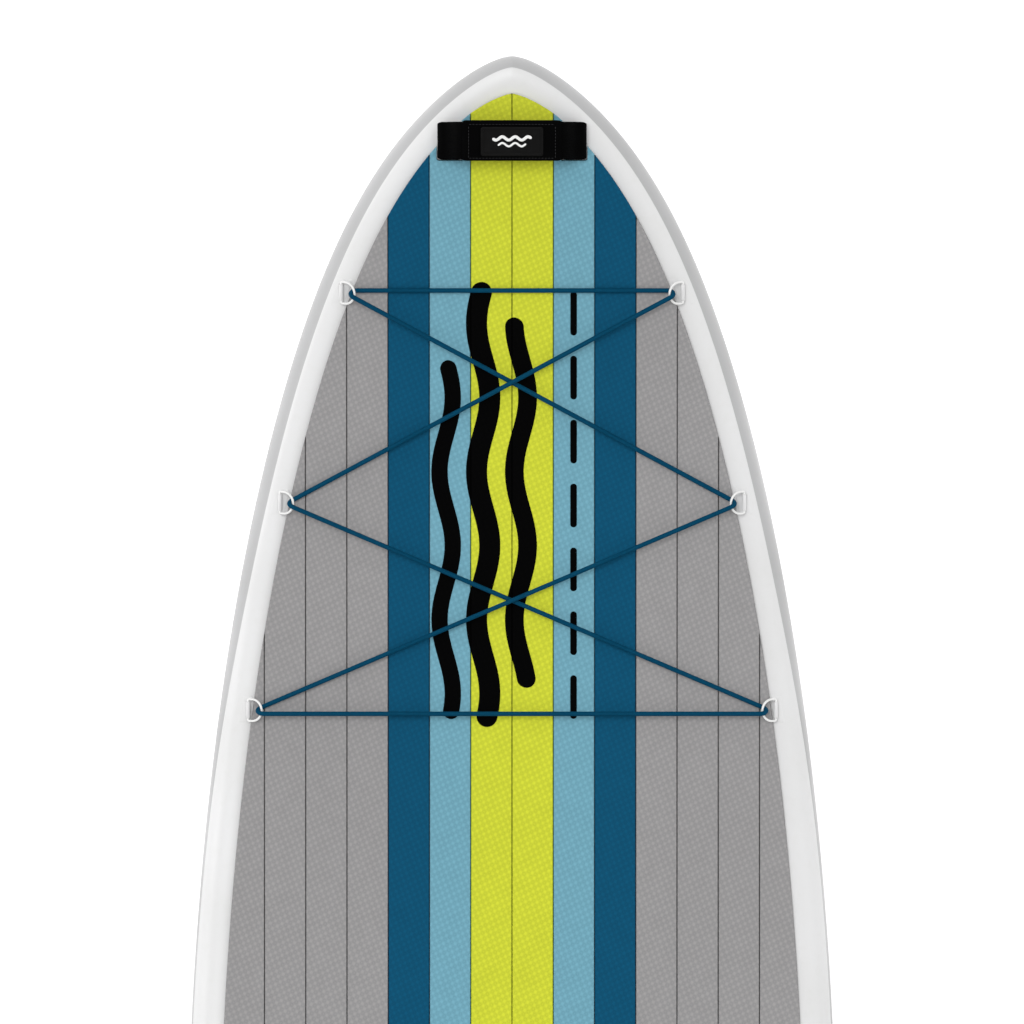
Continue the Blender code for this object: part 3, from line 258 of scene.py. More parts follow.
class Look:
    """A Principled material and short ways to add nodes to it."""

    def __init__(self, name, colour, roughness, metallic=0.0):
        self.material = bpy.data.materials.new(name)
        self.material.use_nodes = True
        self.tree = self.material.node_tree
        self.shader = self.tree.nodes["Principled BSDF"]
        self.colour = (*colour, 1.0)
        self.normal = None
        self.set(Base_Color=self.colour, Roughness=roughness, Metallic=metallic)

    def set(self, **values):
        for key, value in values.items():
            self.shader.inputs[key.replace("_", " ")].default_value = value

    def fill(self, socket, value):
        if isinstance(value, bpy.types.NodeSocket):
            self.tree.links.new(value, socket)
        else:
            socket.default_value = value

    def node(self, kind, inputs, **settings):
        made = self.tree.nodes.new("ShaderNode" + kind)
        for key, value in settings.items():
            setattr(made, key, value)
        for key, value in inputs.items():
            self.fill(made.inputs[key], value)
        return made

    def math(self, operation, first, second=0.0, third=None):
        inputs = {0: first, 1: second} if third is None else {0: first, 1: second, 2: third}
        return self.node("Math", inputs, operation=operation).outputs[0]

    def where(self, source="Object", scale=None):
        """The surface's own coordinates, in metres: Object, or UV along and across a strip."""
        vector = self.node("TexCoord", {}).outputs[source]
        return self.node("Mapping", {"Vector": vector, "Scale": scale}).outputs[0] if scale else vector

    def parts(self, source="Object"):
        return self.node("SeparateXYZ", {0: self.where(source)}).outputs

    def noise(self, scale, detail=3.0, at=None):
        inputs = {"Vector": at or self.where(), "Scale": scale, "Detail": detail}
        return self.node("TexNoise", inputs).outputs["Fac"]

    def ramp(self, value, low, high, start=0.0, end=1.0):
        inputs = {"Value": value, "From Min": low, "From Max": high, "To Min": start, "To Max": end}
        return self.node("MapRange", inputs).outputs["Result"]

    def wave(self, value, pitch):
        return self.math("SINE", self.math("MULTIPLY_ADD", value, 2 * math.pi / pitch, 0.0))

    def crossed(self, first, pitch, second, other_pitch):
        return self.math("MULTIPLY", self.wave(first, pitch), self.wave(second, other_pitch))

    def tint(self, share, factor):
        """Multiplies the base colour by factor where share is 1."""
        factor = factor if isinstance(factor, tuple) else (factor,) * 3
        shade = self.node("Mix", {0: share, 6: (1, 1, 1, 1), 7: (*factor, 1)}, data_type="RGBA").outputs[2]
        now = self.shader.inputs["Base Color"]
        before = now.links[0].from_socket if now.links else self.colour
        inputs = {0: 1.0, 6: before, 7: shade}
        self.fill(now, self.node("Mix", inputs, data_type="RGBA", blend_type="MULTIPLY").outputs[2])

    def mottle(self, scale, low, high, factor, detail=3.0):
        """Tints the surface in patches."""
        self.tint(self.ramp(self.noise(scale, detail), low, high), factor)

    def rough(self, value, start, end):
        self.fill(self.shader.inputs["Roughness"], self.ramp(value, 0.35, 0.65, start, end))

    def bump(self, height, distance, strength):
        made = self.node("Bump", {"Height": height, "Distance": distance, "Strength": strength})
        if self.normal:
            self.fill(made.inputs["Normal"], self.normal)
        self.normal = made.outputs["Normal"]
        self.fill(self.shader.inputs["Normal"], self.normal)

    def grain(self, scale, distance, strength, detail=3.0):
        self.bump(self.noise(scale, detail), distance, strength)


def coated_fabric(name, colour):
    """PVC-coated fabric: a faint weave pressed through the coat, with soft stains and a satin sheen."""
    look = Look(name, colour, 0.42)
    at = look.parts()
    look.bump(look.crossed(at[0], 0.0013, at[1], 0.0013), 0.00003, 0.5)
    look.grain(420, 0.00008, 0.35, 4)
    stains = look.noise(5.5, 5)
    look.tint(look.ramp(stains, 0.42, 0.66), (0.965, 0.965, 0.96))
    look.mottle(90, 0.52, 0.70, (0.985, 0.985, 0.98))
    look.rough(stains, 0.36, 0.50)
    look.set(Coat_Weight=0.12, Coat_Roughness=0.30)
    return look.material


def foam(name, colour, shine=0.1):
    """Closed-cell foam embossed with a slanted lattice of star-like studs and a faint ring between them. The
    raised studs carry a painted highlight and the sunk ring carries painted shade.
    """
    look = Look(name, colour, 0.85)
    waves = []
    for vector in LATTICE:
        phase = look.node("VectorMath", {0: look.where(), 1: vector}, operation="DOT_PRODUCT")
        waves.append(look.math("COSINE", look.math("MULTIPLY", phase.outputs["Value"], 2 * math.pi)))
    both = look.math("ADD", *waves)
    stud = look.ramp(both, 0.2, 1.5)
    ring = look.ramp(look.math("ABSOLUTE", look.math("ADD", both, 0.95)), 0.0, 0.55, 1.0, 0.0)
    # Painted highlight on the raised studs, and painted shade in the sunk ring between them.
    look.tint(stud, (1.14, 1.13, 1.12))
    look.tint(ring, (0.92, 0.93, 0.93))
    look.mottle(60, 0.35, 0.7, 0.95, 4)
    look.mottle(2.5, 0.45, 0.7, 0.97)
    look.bump(look.math("SUBTRACT", stud, ring), 0.00025, 0.6)
    look.grain(1500, 0.00012, 0.5)
    look.set(Specular_IOR_Level=shine)
    return look.material


def plain_foam(name, colour):
    look = Look(name, colour, 0.9)
    look.grain(1300, 0.0002, 0.6, 4)
    look.mottle(30, 0.4, 0.7, 0.8)
    look.set(Specular_IOR_Level=0.1)
    return look.material


def webbing(name):
    """Woven strap: a twill of ribs along and across the strip, with a painted highlight on the raised weave.
    """
    look = Look(name, BLACK, 0.72)
    at = look.parts("UV")
    ribs = look.wave(look.math("ADD", at[0], look.math("MULTIPLY", at[1], 0.5)), 0.0017)
    rows = look.wave(at[1], 0.0028)
    height = look.math("ADD", look.math("MULTIPLY", ribs, rows), look.math("MULTIPLY", rows, 0.5))
    look.bump(height, 0.00016, 0.9)
    # Painted highlight: the raised weave is painted up to twice as light.
    look.tint(look.ramp(height, 0.2, 1.4), 2.0)
    look.mottle(45, 0.45, 0.7, 0.7, 4)
    look.set(Specular_IOR_Level=0.02)
    return look.material


def neoprene(name):
    """Knitted face on rubber: fine loops with a soft painted sheen, the raised loops painted lighter."""
    look = Look(name, BLACK, 0.78)
    at = look.parts()
    loops = look.crossed(at[0], 0.0009, look.math("ADD", at[1], at[2]), 0.0012)
    look.bump(loops, 0.00008, 0.8)
    # Painted sheen: the raised loops are painted lighter.
    look.tint(look.ramp(loops, 0.0, 1.0), 1.7)
    look.mottle(25, 0.4, 0.7, 0.75)
    look.set(Specular_IOR_Level=0.02)
    return look.material


def rubber(name):
    look = Look(name, (0.0035, 0.0034, 0.0034), 0.5)
    look.grain(900, 0.00006, 0.5)
    look.mottle(120, 0.5, 0.75, 1.4)
    look.rough(look.noise(60), 0.42, 0.6)
    look.set(Specular_IOR_Level=0.08)
    return look.material


def moulded(name, colour, roughness, scuff=0.97):
    """Moulded plastic with a fine spark-eroded grain and faint scuffs."""
    look = Look(name, colour, roughness)
    look.grain(1800, 0.00003, 0.5, 2)
    look.grain(35, 0.0003, 0.08, 2)
    scratches = look.noise(3.0, 5, look.where(scale=(18, 260, 90)))
    look.tint(look.ramp(scratches, 0.62, 0.72), scuff)
    look.rough(look.noise(28, 4), roughness - 0.05, roughness + 0.08)
    return look.material


def braid(name, colour):
    """Braided sheath over the shock cord: two sets of yarns wound opposite ways, with painted shade in the
    grooves between them.
    """
    look = Look(name, colour, 0.6)
    at = look.parts("UV")
    around, pitch, yarns = 2 * math.pi * CORD_R, 0.0042, 8
    along = look.math("MULTIPLY", at[0], around / pitch)
    ways = [look.wave(look.math(way, at[1], along), around / yarns) for way in ("ADD", "SUBTRACT")]
    height = look.math("MAXIMUM", *ways)
    look.bump(height, 0.00018, 0.8)
    # Painted shade: the low grooves between the yarns are painted darker.
    look.tint(look.ramp(height, -0.6, 0.5, 1.0, 0.0), (0.45, 0.5, 0.55))
    look.mottle(160, 0.5, 0.8, (1.15, 1.12, 1.10))
    look.set(Specular_IOR_Level=0.05)
    return look.material


def steel(name):
    """Polished stainless wire with fine drawn lines."""
    look = Look(name, (0.62, 0.61, 0.60), 0.22, 1.0)
    drawn = look.noise(1.0, 4, look.where(scale=(40, 900, 900)))
    look.bump(drawn, 0.00003, 0.4)
    look.rough(drawn, 0.16, 0.32)
    look.mottle(70, 0.5, 0.75, (0.88, 0.87, 0.86))
    return look.material


def cloth(name, colour, pitch=0.0011):
    look = Look(name, colour, 0.9)
    at = look.parts()
    weave = look.crossed(look.math("ADD", at[0], at[2]), pitch, at[1], pitch)
    look.bump(weave, 0.0001, 0.8)
    look.tint(look.ramp(weave, -1.0, 1.0), 0.8)
    look.mottle(8, 0.4, 0.7, 0.92)
    return look.material


# The materials by slot, and one for the print. The handles are sewn with thread.
LOOKS = {f"{name}_foam": foam(f"{name}_embossed_foam", colour) for name, colour in STUDS.items()}
LOOKS |= {
    "white_pvc": coated_fabric("white_pvc_fabric", (0.72, 0.72, 0.722)),
    "light_grey_pvc": coated_fabric("grey_pvc_fabric", (0.43, 0.43, 0.435)),
    "dark_foam": plain_foam("dark_base_foam", (0.06, 0.06, 0.062)),
    "black_webbing": webbing("black_webbing_weave"),
    "black_neoprene": neoprene("black_neoprene_knit"),
    "black_rubber": rubber("black_moulded_rubber"),
    "white_nylon": moulded("white_nylon_moulded", (0.80, 0.80, 0.79), 0.30),
    "white_plastic": moulded("white_valve_plastic", (0.74, 0.74, 0.73), 0.38),
    "black_nylon": moulded("black_fin_nylon", (0.012, 0.012, 0.013), 0.36, 2.2),
    "stainless_steel": steel("polished_stainless_wire"),
    "blue_cord": braid("blue_braided_sheath", (0.001, 0.066, 0.135)),
    "base_cloth": cloth("grey_base_cloth", (0.28, 0.28, 0.28)),
    "print": foam("black_print_on_foam", BLACK, 0.02),
    "thread": cloth("stitching_thread", (0.022, 0.022, 0.024), 0.0006),
}


# Meshes


class Skin:
    """Points, faces and their strip coordinates, gathered for one piece."""

    def __init__(self):
        self.points = []
        self.faces = []
        self.corners = []

    def grid(self, rows, around=False, closed=False):
        """Quads over rows of points. around joins each row's ends, closed joins the last row to the first."""
        rows = np.asarray(rows, float)
        count, size = rows.shape[:2]
        start = len(self.points)
        self.points += [tuple(p) for p in rows.reshape(-1, 3)]
        ring = np.concatenate([rows[0], rows[0, :1]])
        line = np.concatenate([rows[:, 0], rows[:1, 0]])
        across, along = (np.concatenate([[0], np.cumsum(np.linalg.norm(np.diff(way, axis=0), axis=1))])
                         for way in (ring, line))
        for i in range(count if closed else count - 1):
            near, far = start + i * size, start + (i + 1) % count * size
            for j in range(size if around else size - 1):
                k = (j + 1) % size
                self.faces.append((near + j, far + j, far + k, near + k))
                self.corners += [(along[i], across[j]), (along[i + 1], across[j]),
                                 (along[i + 1], across[j + 1]), (along[i], across[j + 1])]
        return self

    def face(self, points):
        start = len(self.points)
        self.points += [tuple(p) for p in points]
        self.faces.append(tuple(range(start, start + len(points))))
        self.corners += [(p[0], p[1]) for p in points]

    def tube(self, rows):
        """Rows joined round, with a face on the first and on the last."""
        self.grid(rows, around=True)
        self.face(rows[0][::-1])
        self.face(rows[-1])
        return self

    def mirrored(self):
        """Adds the mirror image across the centre plane."""
        start = len(self.points)
        self.points += [(-x, y, z) for x, y, z in self.points]
        self.faces += [tuple(start + i for i in face) for face in list(self.faces)]
        self.corners += list(self.corners)
        return self

    def mesh(self, name="cutter", sharp=SHARP, place=None):
        made = bpy.data.meshes.new(name)
        made.from_pydata(self.points, [], self.faces)
        layer = made.uv_layers.new(name="UVMap")
        layer.data.foreach_set("uv", np.array(self.corners, float).ravel())
        shape = bmesh.new()
        shape.from_mesh(made)
        bmesh.ops.remove_doubles(shape, verts=shape.verts, dist=2e-6)
        bmesh.ops.dissolve_degenerate(shape, edges=shape.edges, dist=1e-6)
        bmesh.ops.recalc_face_normals(shape, faces=shape.faces)
        shape.to_mesh(made)
        shape.free()
        made.shade_smooth()
        made.set_sharp_from_angle(angle=math.radians(sharp))
        if place is not None:
            made.transform(place)
        return made


def piece(name, shape, slot, node=None, body="hull", place=None, look=None, sharp=SHARP):
    """A piece of the object: its shape, its material slot, the CAD node that it stands for and its body."""
    mesh = shape.mesh(name, sharp, place) if isinstance(shape, Skin) else shape
    mesh.materials.append(LOOKS[look or slot])
    made = link(name, mesh)
    if body:
        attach(made, body)
    if node:
        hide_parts(node)
    return made


def cut(item, cutters):
    """Cuts meshes out of a piece and keeps the result as its mesh."""
    helpers = [link("cutter", mesh) for mesh in cutters]
    for helper in helpers:
        change = item.modifiers.new("cut", "BOOLEAN")
        change.operation = "DIFFERENCE"
        change.solver = "EXACT"
        change.object = helper
    bpy.context.view_layer.update()
    ready = item.evaluated_get(bpy.context.evaluated_depsgraph_get())
    mesh = bpy.data.meshes.new_from_object(ready)
    item.modifiers.clear()
    item.data = mesh
    mesh.set_sharp_from_angle(angle=math.radians(SHARP))
    for helper in helpers:
        bpy.data.objects.remove(helper)


def move(x, y, z):
    return Matrix.Translation((x, y, z))


def spin(angle, axis):
    return Matrix.Rotation(angle, 4, axis)


def circle(radius, sides):
    turns = [2 * math.pi * i / sides for i in range(sides)]
    return [(radius * math.cos(turn), radius * math.sin(turn)) for turn in turns]


def rounded(half_u, half_v, radius, steps=6):
    """A rounded rectangle as points, starting at the corner in the first quadrant."""
    points = []
    for quarter, (u, v) in enumerate(((1, 1), (-1, 1), (-1, -1), (1, -1))):
        for step in range(steps + 1):
            angle = math.pi / 2 * (quarter + step / steps)
            points.append((u * (half_u - radius) + radius * math.cos(angle),
                           v * (half_v - radius) + radius * math.sin(angle)))
    return points


def slab(loop, low, high, edge=0.0004, skin=None):
    """A flat plate of one outline with softly rounded top and bottom edges."""
    flat = np.array(loop, float)
    centre = flat.mean(0)
    reach = np.linalg.norm(flat - centre, axis=1)[:, None]
    rows = []
    for inset, z in ((edge, low), (0.3 * edge, low + 0.3 * edge), (0, low + edge),
                     (0, high - edge), (0.3 * edge, high - 0.3 * edge), (edge, high)):
        rows.append([(x, y, z) for x, y in centre + (flat - centre) * (1 - inset / reach)])
    return (skin or Skin()).tube(rows)


def turned(profile, sides=64, skin=None):
    """A closed profile of (radius, height) turned about the Z axis."""
    rows = [[(r * c, r * s, z) for r, z in profile] for c, s in circle(1, sides)]
    return (skin or Skin()).grid(rows, around=True, closed=True)


def softened(profile, radius, steps=3):
    """A closed profile with each corner off the axis rounded."""
    points = []
    for i, point in enumerate(profile):
        here = Vector(point)
        back, ahead = Vector(profile[i - 1]) - here, Vector(profile[(i + 1) % len(profile)]) - here
        if here.x < 1e-6 or radius * 2 > min(back.length, ahead.length):
            points.append(tuple(point))
            continue
        first, last = here + back.normalized() * radius, here + ahead.normalized() * radius
        for step in range(steps + 1):
            t = step / steps
            points.append(tuple(first * (1 - t) ** 2 + here * 2 * t * (1 - t) + last * t**2))
    return points


def tube_rows(path, radius, sides, closed=False):
    """Rings of points round a line, turned as little as possible from one to the next."""
    path = [Vector(p) for p in path]
    count = len(path)
    rows = []
    normal = None
    for i, point in enumerate(path):
        after, before = ((i + 1) % count, i - 1) if closed else (min(i + 1, count - 1), max(i - 1, 0))
        ahead = (path[after] - path[before]).normalized()
        if normal is None:
            normal = ahead.orthogonal()
        normal = (normal - ahead * normal.dot(ahead)).normalized()
        other = ahead.cross(normal)
        rows.append([tuple(point + normal * u + other * v) for u, v in circle(radius, sides)])
    return rows


def chaikin(points, rounds):
    """Rounds a line's corners off."""
    line = [Vector(p) for p in points]
    for _ in range(rounds):
        middle = [a.lerp(b, share) for a, b in zip(line, line[1:]) for share in (0.25, 0.75)]
        line = [line[0], *middle, line[-1]]
    return line


# The hull's outline, rail and rocker, as in the CAD


def outline(q):
    """(x, y) on the right edge. q is 0 at the nose, 1 at the widest station and 2 at the tail."""
    q = np.asarray(q, float)
    t = 1 - np.cos(np.pi / 2 * np.clip(q, 0, 1) ** 1.15)
    power = 0.5 + NOSE_FULLNESS * np.exp(-t / NOSE_FADE)
    u = np.sin(np.pi / 2 * np.clip(q - 1, 0, 1)) ** (2 / TAIL_POWER)
    front = np.maximum(0, t * (2 - t)) ** power
    rear = np.maximum(0, 1 - u**TAIL_POWER) ** (1 / 3)
    x = WIDTH / 2 * np.where(q <= 1, front, rear)
    return x, NOSE_Y - FRONT_RUN * t - (LENGTH - FRONT_RUN) * u


def offset(q, inset):
    """The outline's point at q moved inwards, square to the outline."""
    step = 1e-4
    x0, y0 = outline(np.maximum(q - step, 0))
    x1, y1 = outline(np.minimum(q + step, 2))
    long = np.hypot(x1 - x0, y1 - y0)
    x, y = outline(q)
    x, y = x + inset * (y1 - y0) / long, y - inset * (x1 - x0) / long
    return np.where(q >= 2, 0, x), np.where(q >= 2, -NOSE_Y + inset, y)


def tip(inset):
    """Where the inset outline meets the centreline near the nose."""
    x, y = offset(np.linspace(0.002, 0.6, 300), inset)
    crossed = np.flatnonzero((x[:-1] < 0) & (x[1:] >= 0))
    if not len(crossed):
        return NOSE_Y - inset
    i = crossed[0]
    return y[i] + x[i] / (x[i] - x[i + 1]) * (y[i + 1] - y[i])


TIP_INSETS = np.linspace(-0.002, 0.08, 165)
TIPS = np.array([tip(inset) for inset in TIP_INSETS])


def inset_point(q, inset):
    """A point of the inset outline, never across the centreline."""
    x, y = offset(q, inset)
    crossed = ((x <= 0) | (q <= 0)) & (q < 1)
    return np.where(crossed, 0.0, x), np.where(crossed, np.interp(inset, TIP_INSETS, TIPS), y)


def rocker(y):
    """How far the hull is bent up at y."""
    nose = np.maximum(0.0, y - (NOSE_Y - NOSE_LIFT_RUN)) / NOSE_LIFT_RUN
    tail = np.maximum(0.0, -NOSE_Y + TAIL_LIFT_RUN - y) / TAIL_LIFT_RUN
    return NOSE_LIFT * nose**2 + TAIL_LIFT * tail**2


def slope(y):
    return math.atan((rocker(y + 1e-4) - rocker(y - 1e-4)) / 2e-4)


def rail(q, phi, depth):
    """Points along stations q. phi is 0 at the widest edge and a right angle where the deck is flat."""
    c, s = np.cos(phi), np.abs(np.sin(phi))
    size = (np.abs(c) ** RAIL_POWER + s**RAIL_POWER) ** (1 / RAIL_POWER)
    x, y = inset_point(q, RAIL_REACH - (RAIL_REACH - depth) * c / size)
    z = MID + np.sign(phi) * (RAIL_RISE - depth) * s / size + rocker(y)
    return np.stack([x, y, z], 1)


def seam(q):
    """phi where the deck sheet ends, for each station."""
    turn = (NOSE_Y - outline(q)[1] - SEAM_TURN) / SEAM_TURN_RUN
    c = 1 - (SEAM_REAR + (SEAM_FRONT - SEAM_REAR) / (1 + np.exp(turn))) / RAIL_REACH
    return np.arctan2((1 - c**RAIL_POWER) ** (1 / RAIL_POWER), c)


LOW_SEAM = -math.atan2(math.sin(BOTTOM_SEAM) ** (2 / RAIL_POWER), math.cos(BOTTOM_SEAM) ** (2 / RAIL_POWER))
EDGE = np.stack(outline(np.linspace(0, 2, 4001)), 1)


def edge_inset(x, y):
    """How far a point lies inside the outline."""
    return float(np.hypot(EDGE[:, 0] - abs(x), EDGE[:, 1] - y).min())


def deck_height(x, y):
    """The height of the deck sheet's outer face."""
    share = max(0.0, (RAIL_REACH - edge_inset(x, y)) / (RAIL_REACH + LAP))
    return MID + THICKNESS / 2 * (1 - share**RAIL_POWER) ** (1 / RAIL_POWER) + rocker(y)


def on_deck(y, turn=0.0):
    """A place on the centreline of the deck, pitched with it."""
    return move(0, y, DECK + rocker(y)) @ spin(slope(y), "X") @ spin(turn, "Z")


FRONT_HANDLE = on_deck(NOSE_Y - FRONT_HANDLE_STATION)
CENTRE_HANDLE = on_deck(0.0, math.pi / 2)


def front_foot(side):
    """The place of one foot of the front handle."""
    return FRONT_HANDLE @ move(side * (FRONT_HANDLE_HALF - FOOT_INSET), 0, 0)


# Hull pieces


def inwards(rim):
    """Copies of a line on the flat deck, each nearer to the centreline."""
    return [rim * (share, 1, 1) for share in (0.75, 0.5, 0.25, 0.0)]


def sheet(name, node, edge, turn, sign):
    """The deck or the bottom sheet: a rounded edge on the rail, the rail's curve and the flat middle."""

    def line(share, depth):
        return rail(FINE, edge + (math.pi / 2 * sign - edge) * share, depth - LAP)

    outer = [line(0.0, 0.0005), line(0.006, 0.0002)]
    outer += [line(0.016 + 0.984 * step / turn, 0.0) for step in range(1, turn + 1)]
    outer += inwards(outer[-1])
    inner = [line(step / 6, SKIN) for step in range(6, -1, -1)]
    inner = inwards(inner[0])[::-1] + inner
    skin = Skin().grid(outer).grid(inner).grid([inner[-1], outer[0]])
    return piece(name, skin.mirrored(), "white_pvc", node)


def hull_shell():
    edge = seam(FINE)
    deck = sheet("deck_sheet", "top_deck_skin", edge, 16, 1)
    sheet("bottom_sheet", "bottom_skin", LOW_SEAM, 14, -1)
    dip, lap = 0.03, 0.12
    lines = [(LOW_SEAM - lap, LAP_DIP), (LOW_SEAM - dip, LAP_DIP), (LOW_SEAM + 0.004, 0.0)]
    lines += [(LOW_SEAM * (1 - step / 8), 0.0) for step in range(1, 8)]
    lines += [(edge * step / 8, 0.0) for step in range(9)]
    lines += [(edge + dip, LAP_DIP), (edge + lap, LAP_DIP)]
    outer = [rail(FINE, phi, depth) for phi, depth in lines]
    inner = [rail(FINE, phi, depth + SKIN) for phi, depth in reversed(lines)]
    skin = Skin().grid(outer + inner, closed=True)
    piece("rail_band", skin.mirrored(), "light_grey_pvc", "rail_tape")
    return deck


# Deck pad


def pad_edge():
    """(y, x) along the pad's right edge, with a blunt tip."""
    return [(float(y) - TIP_BLUNT * max(0.0, 1 - float(x) / PLANK_PITCH), float(x))
            for x, y in zip(*inset_point(FINE, RAIL_REACH))]


def pad_rows(inner_x, outer_x):
    """(y, x reached) along the pad for a strip between two lines."""
    end = NOSE_Y - PAD_END
    edge = pad_edge()
    rows = []
    for (y0, x0), (y1, x1) in zip(edge, edge[1:]):
        marks = [(line - x0) / (x1 - x0) for line in (inner_x, outer_x) if (x0 - line) * (x1 - line) < 0]
        if y0 > end > y1:
            marks.append((end - y0) / (y1 - y0))
        for mark in sorted([0.0, *marks]):
            y, x = y0 + (y1 - y0) * mark, x0 + (x1 - x0) * mark
            if y >= end - 1e-9 and x >= inner_x - 1e-9 and (not rows or rows[-1][0] - y > 1e-5):
                rows.append((y, min(x, outer_x)))
    return rows


def inset_loop(loop, depth):
    """A closed outline moved inwards, with its sharp corners held back."""
    points = np.array(loop)
    after = np.roll(points, -1, 0)
    ahead = (after - points) / np.linalg.norm(after - points, axis=1)[:, None]
    area = np.sum(points[:, 0] * after[:, 1] - after[:, 0] * points[:, 1])
    normal = np.stack([-ahead[:, 1], ahead[:, 0]], 1) * np.sign(area)
    before = np.roll(normal, 1, 0)
    size = 1 + (normal * before).sum(1)
    return points + depth * (normal + before) / np.maximum(size, 0.25)[:, None]


def strip(name, inner_x, outer_x, low, high, edge, side):
    """A strip of the pad between two lines on one side of the board. edge is its bevel: (width, depth)."""
    rows = pad_rows(inner_x, outer_x)
    count = len(rows)
    sharp = [rows[end][1] - inner_x < 1e-6 for end in (0, -1)]
    loop = [(inner_x, y) for y, _ in rows]
    loop += [(x, y) for y, x in reversed(rows[sharp[0]:count - sharp[1]])]
    wide, deep = edge
    rings = []
    for inset, height in ((0.0, low), (0.0, high - deep), (0.55 * wide, high - 0.35 * deep),
                          (0.85 * wide, high - 0.08 * deep), (wide, high)):
        flat = inset_loop(loop, inset)
        rings.append([(side * x, y, DECK + rocker(y) + height) for x, y in flat])
    skin = Skin().grid(rings, around=True)
    for ring in (rings[0], rings[-1]):
        inner = ring[:count]
        skin.grid([inner, inner[:sharp[0]] + ring[count:][::-1] + inner[count - sharp[1]:]])
    return skin.mesh(name, 30)


def pad_base():
    """The dark sheet under the planks: its right half, mirrored."""
    mesh = strip("pad_base_sheet", 0.0, WIDTH, GAP, BASE_TOP, (0.0002, 0.0002), 1)
    shape = bmesh.new()
    shape.from_mesh(mesh)
    middle = [face for face in shape.faces if all(abs(vertex.co.x) < 1e-3 for vertex in face.verts)]
    bmesh.ops.delete(shape, geom=middle, context="FACES")
    for vertex in shape.verts:
        if vertex.co.x < 1e-3:
            vertex.co.x = 0.0
    everything = shape.faces[:] + shape.edges[:] + shape.verts[:]
    bmesh.ops.mirror(shape, geom=everything, axis="X", merge_dist=1e-5)
    bmesh.ops.recalc_face_normals(shape, faces=shape.faces)
    shape.to_mesh(mesh)
    shape.free()
    return mesh


def foot_pocket(side):
    """A cutter for the pad round one foot of the front handle."""
    loop = rounded(FOOT_INSET + POCKET_CLEAR, WEBBING / 2 + POCKET_CLEAR, 0.003)
    return slab(loop, CUT_LOW, CUT_HIGH).mesh(place=front_foot(side))


def middle_pocket():
    """A cutter for the pad round the centre handle."""
    loop = rounded(CENTRE_HANDLE_HALF + MIDDLE_CLEAR_X, WEBBING / 2 + MIDDLE_CLEAR_Y, 0.012)
    return slab(loop, CUT_LOW, CUT_HIGH).mesh(place=CENTRE_HANDLE)


def deck_pad():
    base = piece("pad_base_sheet", pad_base(), "dark_foam", "deck_pad_base")
    cut(base, [foot_pocket(-1), foot_pocket(1), middle_pocket()])
    bevel = ((GROOVE - SLIT) / 2, GROOVE_DEPTH)
    for number, colour in enumerate(PLANK_COLOURS):
        inner = number * PLANK_PITCH + SLIT / 2
        outer = WIDTH if number == len(PLANK_COLOURS) - 1 else (number + 1) * PLANK_PITCH - SLIT / 2
        family = "grey" if colour.startswith("grey") else colour
        for side, word in ((-1, "left"), (1, "right")):
            name = f"{colour}_foam_plank_{word}"
            mesh = strip(name, inner, outer, BASE_TOP + GAP, PAD_TOP, bevel, side)
            made = piece(name, mesh, f"{family}_foam", f"plank_{colour}_{word}")
            if colour == "yellow":
                cut(made, [middle_pocket()])
            if colour in ("light_blue", "dark_blue"):
                cut(made, [foot_pocket(side)])


# Printed graphic


def tapered(length, half, steps):
    """Shares along a band, closer together at its round ends, and the half width at each."""
    share = np.linspace(0, 1, steps)
    ends = (1 - np.cos(np.linspace(0, math.pi / 2, 12))) * half / length
    inside = share[(share > ends[-1]) & (share < 1 - ends[-1])]
    shares = np.concatenate([ends, inside, 1 - ends[::-1]])
    near = np.minimum(np.minimum(shares, 1 - shares) * length, half)
    return shares, np.sqrt(np.maximum(half**2 - (half - near) ** 2, (0.02 * half) ** 2))


def ribbon(name, line, widths):
    """A flat printed band on the planks, along a line of (x, y)."""
    ahead = np.gradient(line, axis=0)
    ahead /= np.linalg.norm(ahead, axis=1)[:, None]
    across = np.stack([ahead[:, 1], -ahead[:, 0]], 1) * widths[:, None]
    rows = []
    for left, right in zip(line - across, line + across):
        corners = ((left, PRINT_LOW), (right, PRINT_LOW), (right, PRINT_HIGH), (left, PRINT_HIGH))
        rows.append([(x, y, DECK + rocker(y) + height) for (x, y), height in corners])
    mesh = Skin().tube(rows).mesh(name)
    sink_in_grooves(mesh)
    piece(name, mesh, "black_rubber", look="print")


def sink_in_grooves(mesh):
    """Bends a printed band down the sides of every groove that it crosses."""
    shape = bmesh.new()
    shape.from_mesh(mesh)
    for line in range(-2, 3):
        for reach in (-GROOVE / 2, -SLIT / 2, SLIT / 2, GROOVE / 2):
            geometry = shape.verts[:] + shape.edges[:] + shape.faces[:]
            cut_at = (line * PLANK_PITCH + reach, 0.0, 0.0)
            bmesh.ops.bisect_plane(shape, geom=geometry, plane_co=cut_at, plane_no=(1, 0, 0), dist=1e-7)
    for vertex in shape.verts:
        away = abs(vertex.co.x - round(vertex.co.x / PLANK_PITCH) * PLANK_PITCH)
        vertex.co.z -= GROOVE_DEPTH * min(1.0, max(0.0, (GROOVE / 2 - away) / ((GROOVE - SLIT) / 2)))
    shape.to_mesh(mesh)
    shape.free()
    mesh.set_sharp_from_angle(angle=math.radians(SHARP))


def deck_print():
    """Three rolling wave bands along the board and a row of dashes: plain decoration."""
    for number, (x, half, rear, front) in enumerate(PRINT_WAVES, 1):
        shares, widths = tapered(front - rear, half, 90)
        y = rear + (front - rear) * shares
        line = np.stack([x + WAVE_SWAY * np.sin(2 * np.pi * y / WAVE_LONG), y], 1)
        ribbon(f"deck_print_wave_{number}", line, widths)
    for number in range(DASHES):
        shares, widths = tapered(DASH_LONG, DASH_HALF, 24)
        y = DASH_START + DASH_PITCH * number + DASH_LONG * shares
        ribbon(f"deck_print_dash_{number + 1}", np.stack([0 * y + DASH_X, y], 1), widths)


# Carry handles


